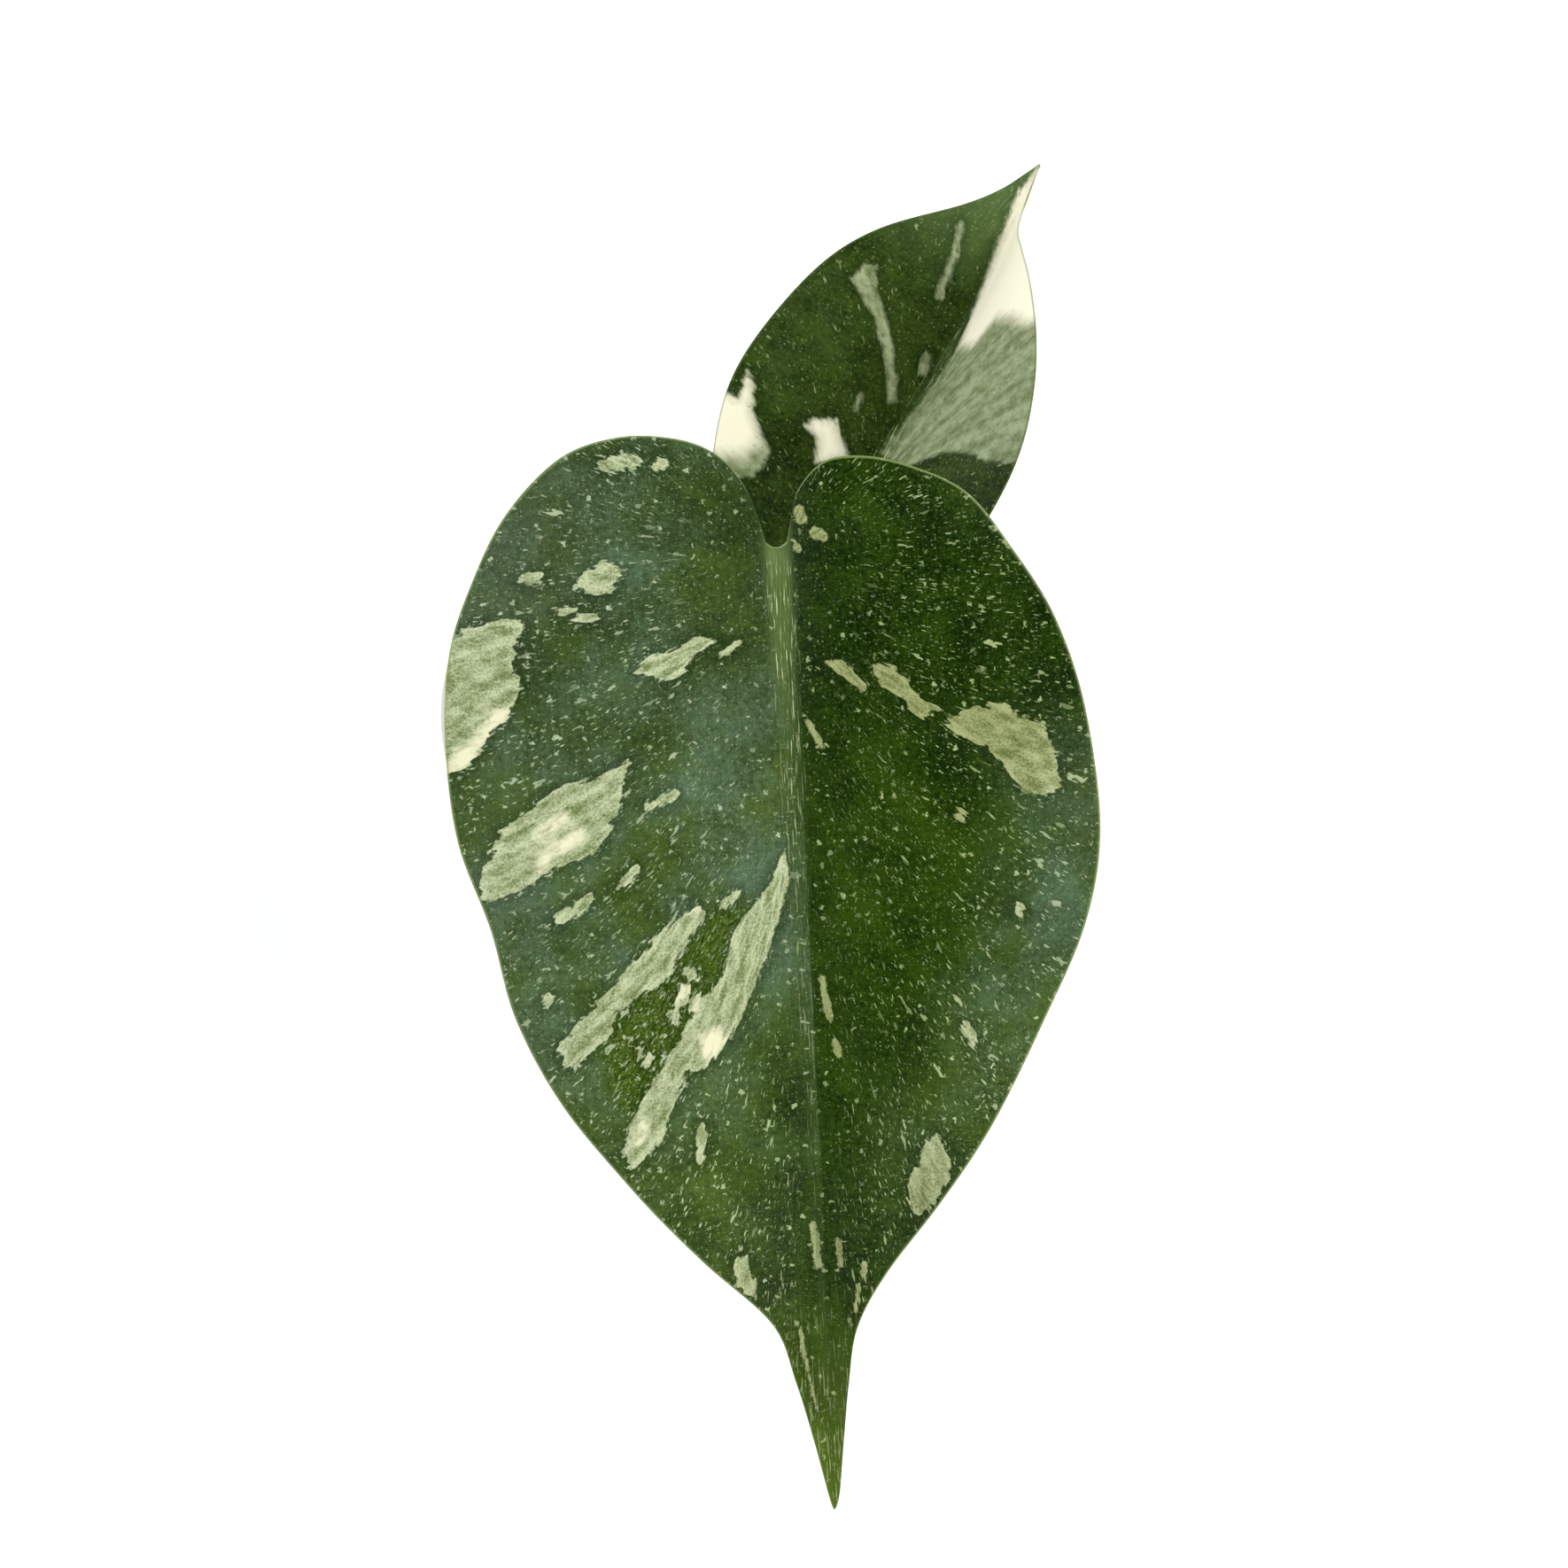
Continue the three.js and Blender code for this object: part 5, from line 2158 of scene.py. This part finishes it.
SMALL_SPOT = Patch((
    (11.5, 19.5), (10.5, 21.5), (7, 23.5), (5, 21), (2.5, 18), (5, 15.5), (7, 14), (8.5, 18.5),
))
SMALL_MARGINS = {
    Half.MINUS: (
        (-2.1, -2.6), (-5, -8), (-13, -10.5), (-24, -7.5), (-32.5, 2), (-38.6, 15.5), (-40.6, 26),
        (-38.4, 36.5), (-32.5, 47), (-23.5, 58), (-14.4, 66.8), (-5.2, 75), (-0.3, 82), (2.4, 91.5),
        (3, 94),
    ),
    Half.PLUS: (
        (2, -2.6), (4.5, -7.5), (10, -9.8), (16.5, -7.5), (21.4, -0.5), (24.4, 10), (26.1, 23),
        (25.4, 37), (22.4, 51), (17.2, 63.5), (8.9, 77), (5.4, 84.5), (3.9, 91.5), (3.3, 94),
    ),
}
SMALL_MINT = (
    # The bleached sector of one half, from the tip down
    Patch((
        (3.2, 94), (2.9, 86), (0.9, 78), (-1.6, 67), (-5, 52), (-6, 46), (-4.5, 35), (-2, 21.5),
        (-12, 19.5), (-20.5, 23), (-28, 23), (-33, 21.5), (-44, 22.5), (-46, 35), (-40, 52), (-24, 68),
        (-8, 84), (0, 96),
    )),
    # At the other margin
    Patch((
        (24.3, 24.5), (22, 22), (20.4, 17.8), (17.8, 14.8), (15.2, 12.6), (14.5, 9.5), (16, 6),
        (20, 3.5), (30, 3), (30, 14), (29, 19), (23.5, 18.5),
    )),
    SMALL_SPOT,
    # Two narrow stripes
    Patch((
        (16.4, 51), (15.8, 55), (14.2, 55.5), (11.8, 51.2), (7.6, 46), (4.4, 41.6), (1.6, 37),
        (-0.4, 32.5), (0.6, 31.2), (3.2, 36.8), (6, 41.3), (9.4, 45.4), (13, 48.4),
    )),
    Dash((7.1, 73), (4.6, 66), 0.7),
    Dash((4.6, 66), (2.4, 56), 0.9),
    Dash((-1.2, 43.6), (-1.9, 40), 1.2),
    Dash((5.3, 30), (4.8, 27), 0.6),
)
SMALL_CREAM = (
    Patch((
        (3.2, 94), (2.9, 86), (0.9, 78), (-1.6, 67), (-5, 52), (-7, 47.5), (-12, 46.5), (-16, 52),
        (-22, 51), (-29, 48.5), (-36, 50), (-36, 56), (-24, 68), (-8, 84), (0, 96),
    )),
    Patch((
        (24.3, 24.2), (22.2, 21.9), (20.6, 18), (18.3, 15), (16.8, 12.6), (18.5, 9.5), (22.5, 7),
        (30, 6.5), (30, 14), (29, 19), (23.4, 18.5),
    )),
    SMALL_SPOT,
)
SMALL_OLIVE = (Patch(((-36, 33), (-39, 36), (-36, 44), (-33, 41))),)


def small_blade() -> Blade:
    """Describes the small blade, which rises behind the large one.

    Returns:
        The blade.
    """
    return Blade(
        name="small_blade",
        node="leaf_small",
        slot="small_blade",
        origin=(32.9, -2.5, 160.5),
        heading=152,
        pitch=-14,
        roll=-22,
        length=93,
        bow=-4.9,
        tip_shift=3.2,
        arch=(-0.05, 0.143),
        shoulder=(0.8, 8),
        droop=(3.2, 38),
        slopes={Half.PLUS: (0.62, 0.05), Half.MINUS: (0.25, 1)},
        slope_power=1,
        rib_half_width=1.8,
        rib_depth=2.2,
        rib_spread=2.1,
        tip_half_width=0.2,
        thickness=0.7,
        veins=7,
        vein_relief=0.35,
        ripple=(0.5, 3),
        margins=SMALL_MARGINS,
        mint=SMALL_MINT,
        cream=SMALL_CREAM,
        olive=SMALL_OLIVE,
        # Painted sheen on each half: all over, beside the midrib and at the margin
        bloom={Half.PLUS: (0.0, 0.0, 0.1), Half.MINUS: (0.0, 0.0, 0.0)},
    )


def stalks(large: Blade, small: Blade) -> tuple[Stalk, Stalk]:
    """Describes the stalks of the two blades.

    Args:
        large: the large blade.
        small: the small blade.

    Returns:
        The large blade's stalk and the small one's.
    """
    return (
        Stalk(
            name="large_stalk",
            node="petiole_large",
            blade=large,
            facing=(-59, -86),
            path=((-2, 5, 94.2), (-2, 5, 106), (-0.6, 2.5, 120), (4.6, -6.6, 146), (13.4, -21.5, 181)),
            under_blade=((4, -3.2, -18), (4.1, -1.2, -10.5), (5.4, -0.2, -6.1), (9, 0, -4), (16, 0, -1.9)),
            stations=(
                (0, 6.5, 1.5, 0.9, 165), (0.083, 6.5, 2.3, 0.9, 150), (0.175, 4.4, 3, 0.9, 130),
                (0.295, 3.2, 3.2, 0.9, 125), (0.406, 2.1, 3.2, 1, 120), (0.48, 1, 3.3, 1.6, 104),
                (0.78, 0.8, 3.1, 1.5, 100), (0.87, 0.6, 3.9, 2.3, 162), (0.92, 0.5, 3.4, 2.3, 168),
                (0.955, 0.4, 2.5, 1.7, 168), (1, 0.2, 0.8, 0.6, 168),
            ),
        ),
        Stalk(
            name="small_stalk",
            node="petiole_small",
            blade=small,
            facing=(-12, 62),
            path=(
                (-2, 5, 80.3), (-2, 5, 85.6), (2, 4.2, 91), (6.6, 3.2, 97), (12.4, 2, 107),
                (21.6, 0.2, 129),
            ),
            under_blade=((-4.6, 9, -12), (-1, 2.6, -7.4), (2.2, 0.3, -4.6), (5.6, 0, -2.9), (11, 0, -1.3)),
            stations=(
                (0, 6.8, 1.3, 0.9, 160), (0.032, 6.8, 1.6, 0.9, 125), (0.064, 6.6, 2.1, 0.9, 85),
                (0.123, 5, 2.8, 0.9, 66), (0.2, 3.4, 3, 0.9, 82), (0.33, 2.6, 2.7, 0.9, 110),
                (0.457, 1.6, 2.5, 1, 110), (0.53, 0.8, 2.5, 1.3, 100), (0.787, 0.7, 2.4, 1.2, 100),
                (0.86, 0.5, 3, 1.8, 162), (0.905, 0.4, 2.5, 1.7, 168), (0.945, 0.3, 1.9, 1.3, 168),
                (1, 0.2, 0.6, 0.5, 168),
            ),
        ),
    )


def large_skin() -> LeafSkin:
    """Describes the large blade's finish."""
    return LeafSkin("monstera_blade_waxy_cuticle", roughness=0.34, ior=1.4)


def small_skin() -> LeafSkin:
    """Describes the small blade's finish: an older leaf, less waxy, softer and coarser in its markings."""
    return LeafSkin(
        "monstera_older_blade_waxy_cuticle",
        roughness=0.38,
        ior=1.4,
        gloss=0.12,
        deep="#122401",
        fresh="#384C14",
        # The small blade's lighter grey-green tip is painted sheen
        tip_tone_and_sheen="#66804A",
        tip_start=0.62,
        tip_streaks=0.15,
        rib="#3A5214",
        lip="#5C7434",
        cream="#FDF8DC",
        margin="#5A7038",
        mint="#9FA982",
        mint_shade="#6C7A50",
        cloud=5.0,
        pore=2.2,
        band=(3.0, 16.0),
        teeth=1.6,
        grain=0.6,
        patch_softness=0.6,
        flecks=(
            Flecks(Guide.FLAT, 0.8, 0.8, 0.14, 0.32, share=0.5, ragged=0.3, strength=0.45, crisp=5),
            Flecks(Guide.LINEAGE, 1.4, 3.0, 0.08, 0.22, share=0.5, ragged=0.4, strength=0.7, crisp=7),
            Flecks(Guide.LINEAGE, 3.6, 6.0, 0.04, 0.16, share=0.5, ragged=0.5, strength=0.7, crisp=9),
        ),
        cream_softness=2.2,
    )


def stalk_skins() -> tuple[StalkSkin, StalkSkin, StalkSkin]:
    """Describes the finishes of the stem, the stalks and the rolled leaf."""
    return (
        StalkSkin("monstera_stem_skin", 0.5, 1.45, body="#506B2D", light="#6F8540", streak_share=0.66),
        StalkSkin("monstera_stalk_waxy_skin", 0.42, 1.45),
        StalkSkin(
            "monstera_rolled_leaf_skin", 0.4, 1.45, body="#8FA85A", light="#BCCB87", streak="#E8E8C0",
            streak_share=0.55,
        ),
    )


def loose_stuff() -> dict[str, Crumb]:
    """Describes the finishes of what the potting mix holds."""
    return {
        "bed": Crumb("coir_and_bark_fines_damp", 0.95, 1.5, "#2A1D14", "#5C4632", 1.4, 0.5, by_piece=0.4),
        "bark": Crumb("pine_bark_chipped", 0.85, 1.5, "#2E221A", "#9A7A58", 1.1, 0.5, by_piece=0.45),
        "perlite": Crumb("perlite_puffed", 0.9, 1.5, "#D8D3C6", "#F4F1E8", 0.5, 0.2, by_piece=0.4),
        "coir": Crumb("coir_fibre_shredded", 0.8, 1.5, "#6A4827", "#A57B4A", 0.8, 0.05, by_piece=0.3),
    }


def main() -> None:
    """Builds the potted plant and its studio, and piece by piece."""
    logging.basicConfig(level=logging.INFO, format="%(message)s")
    pot = NurseryPot()
    pot.build(MouldedPlastic("polypropylene_injection_moulded", roughness=0.38, ior=1.49))
    PottingMix(pot).build(**loose_stuff())
    stem = Stem()
    stem_skin, stalk_skin, rolled_skin = stalk_skins()
    stem.build(stem_skin)
    large, small = large_blade(), small_blade()
    for stalk in stalks(large, small):
        stalk.build(stalk_skin)
    RolledLeaf(stem).build(rolled_skin)
    large.build(large_skin())
    small.build(small_skin())
    Studio().build(Paper("paper_sweep_matte", roughness=0.9, ior=1.5))


if __name__ == "__main__":
    main()
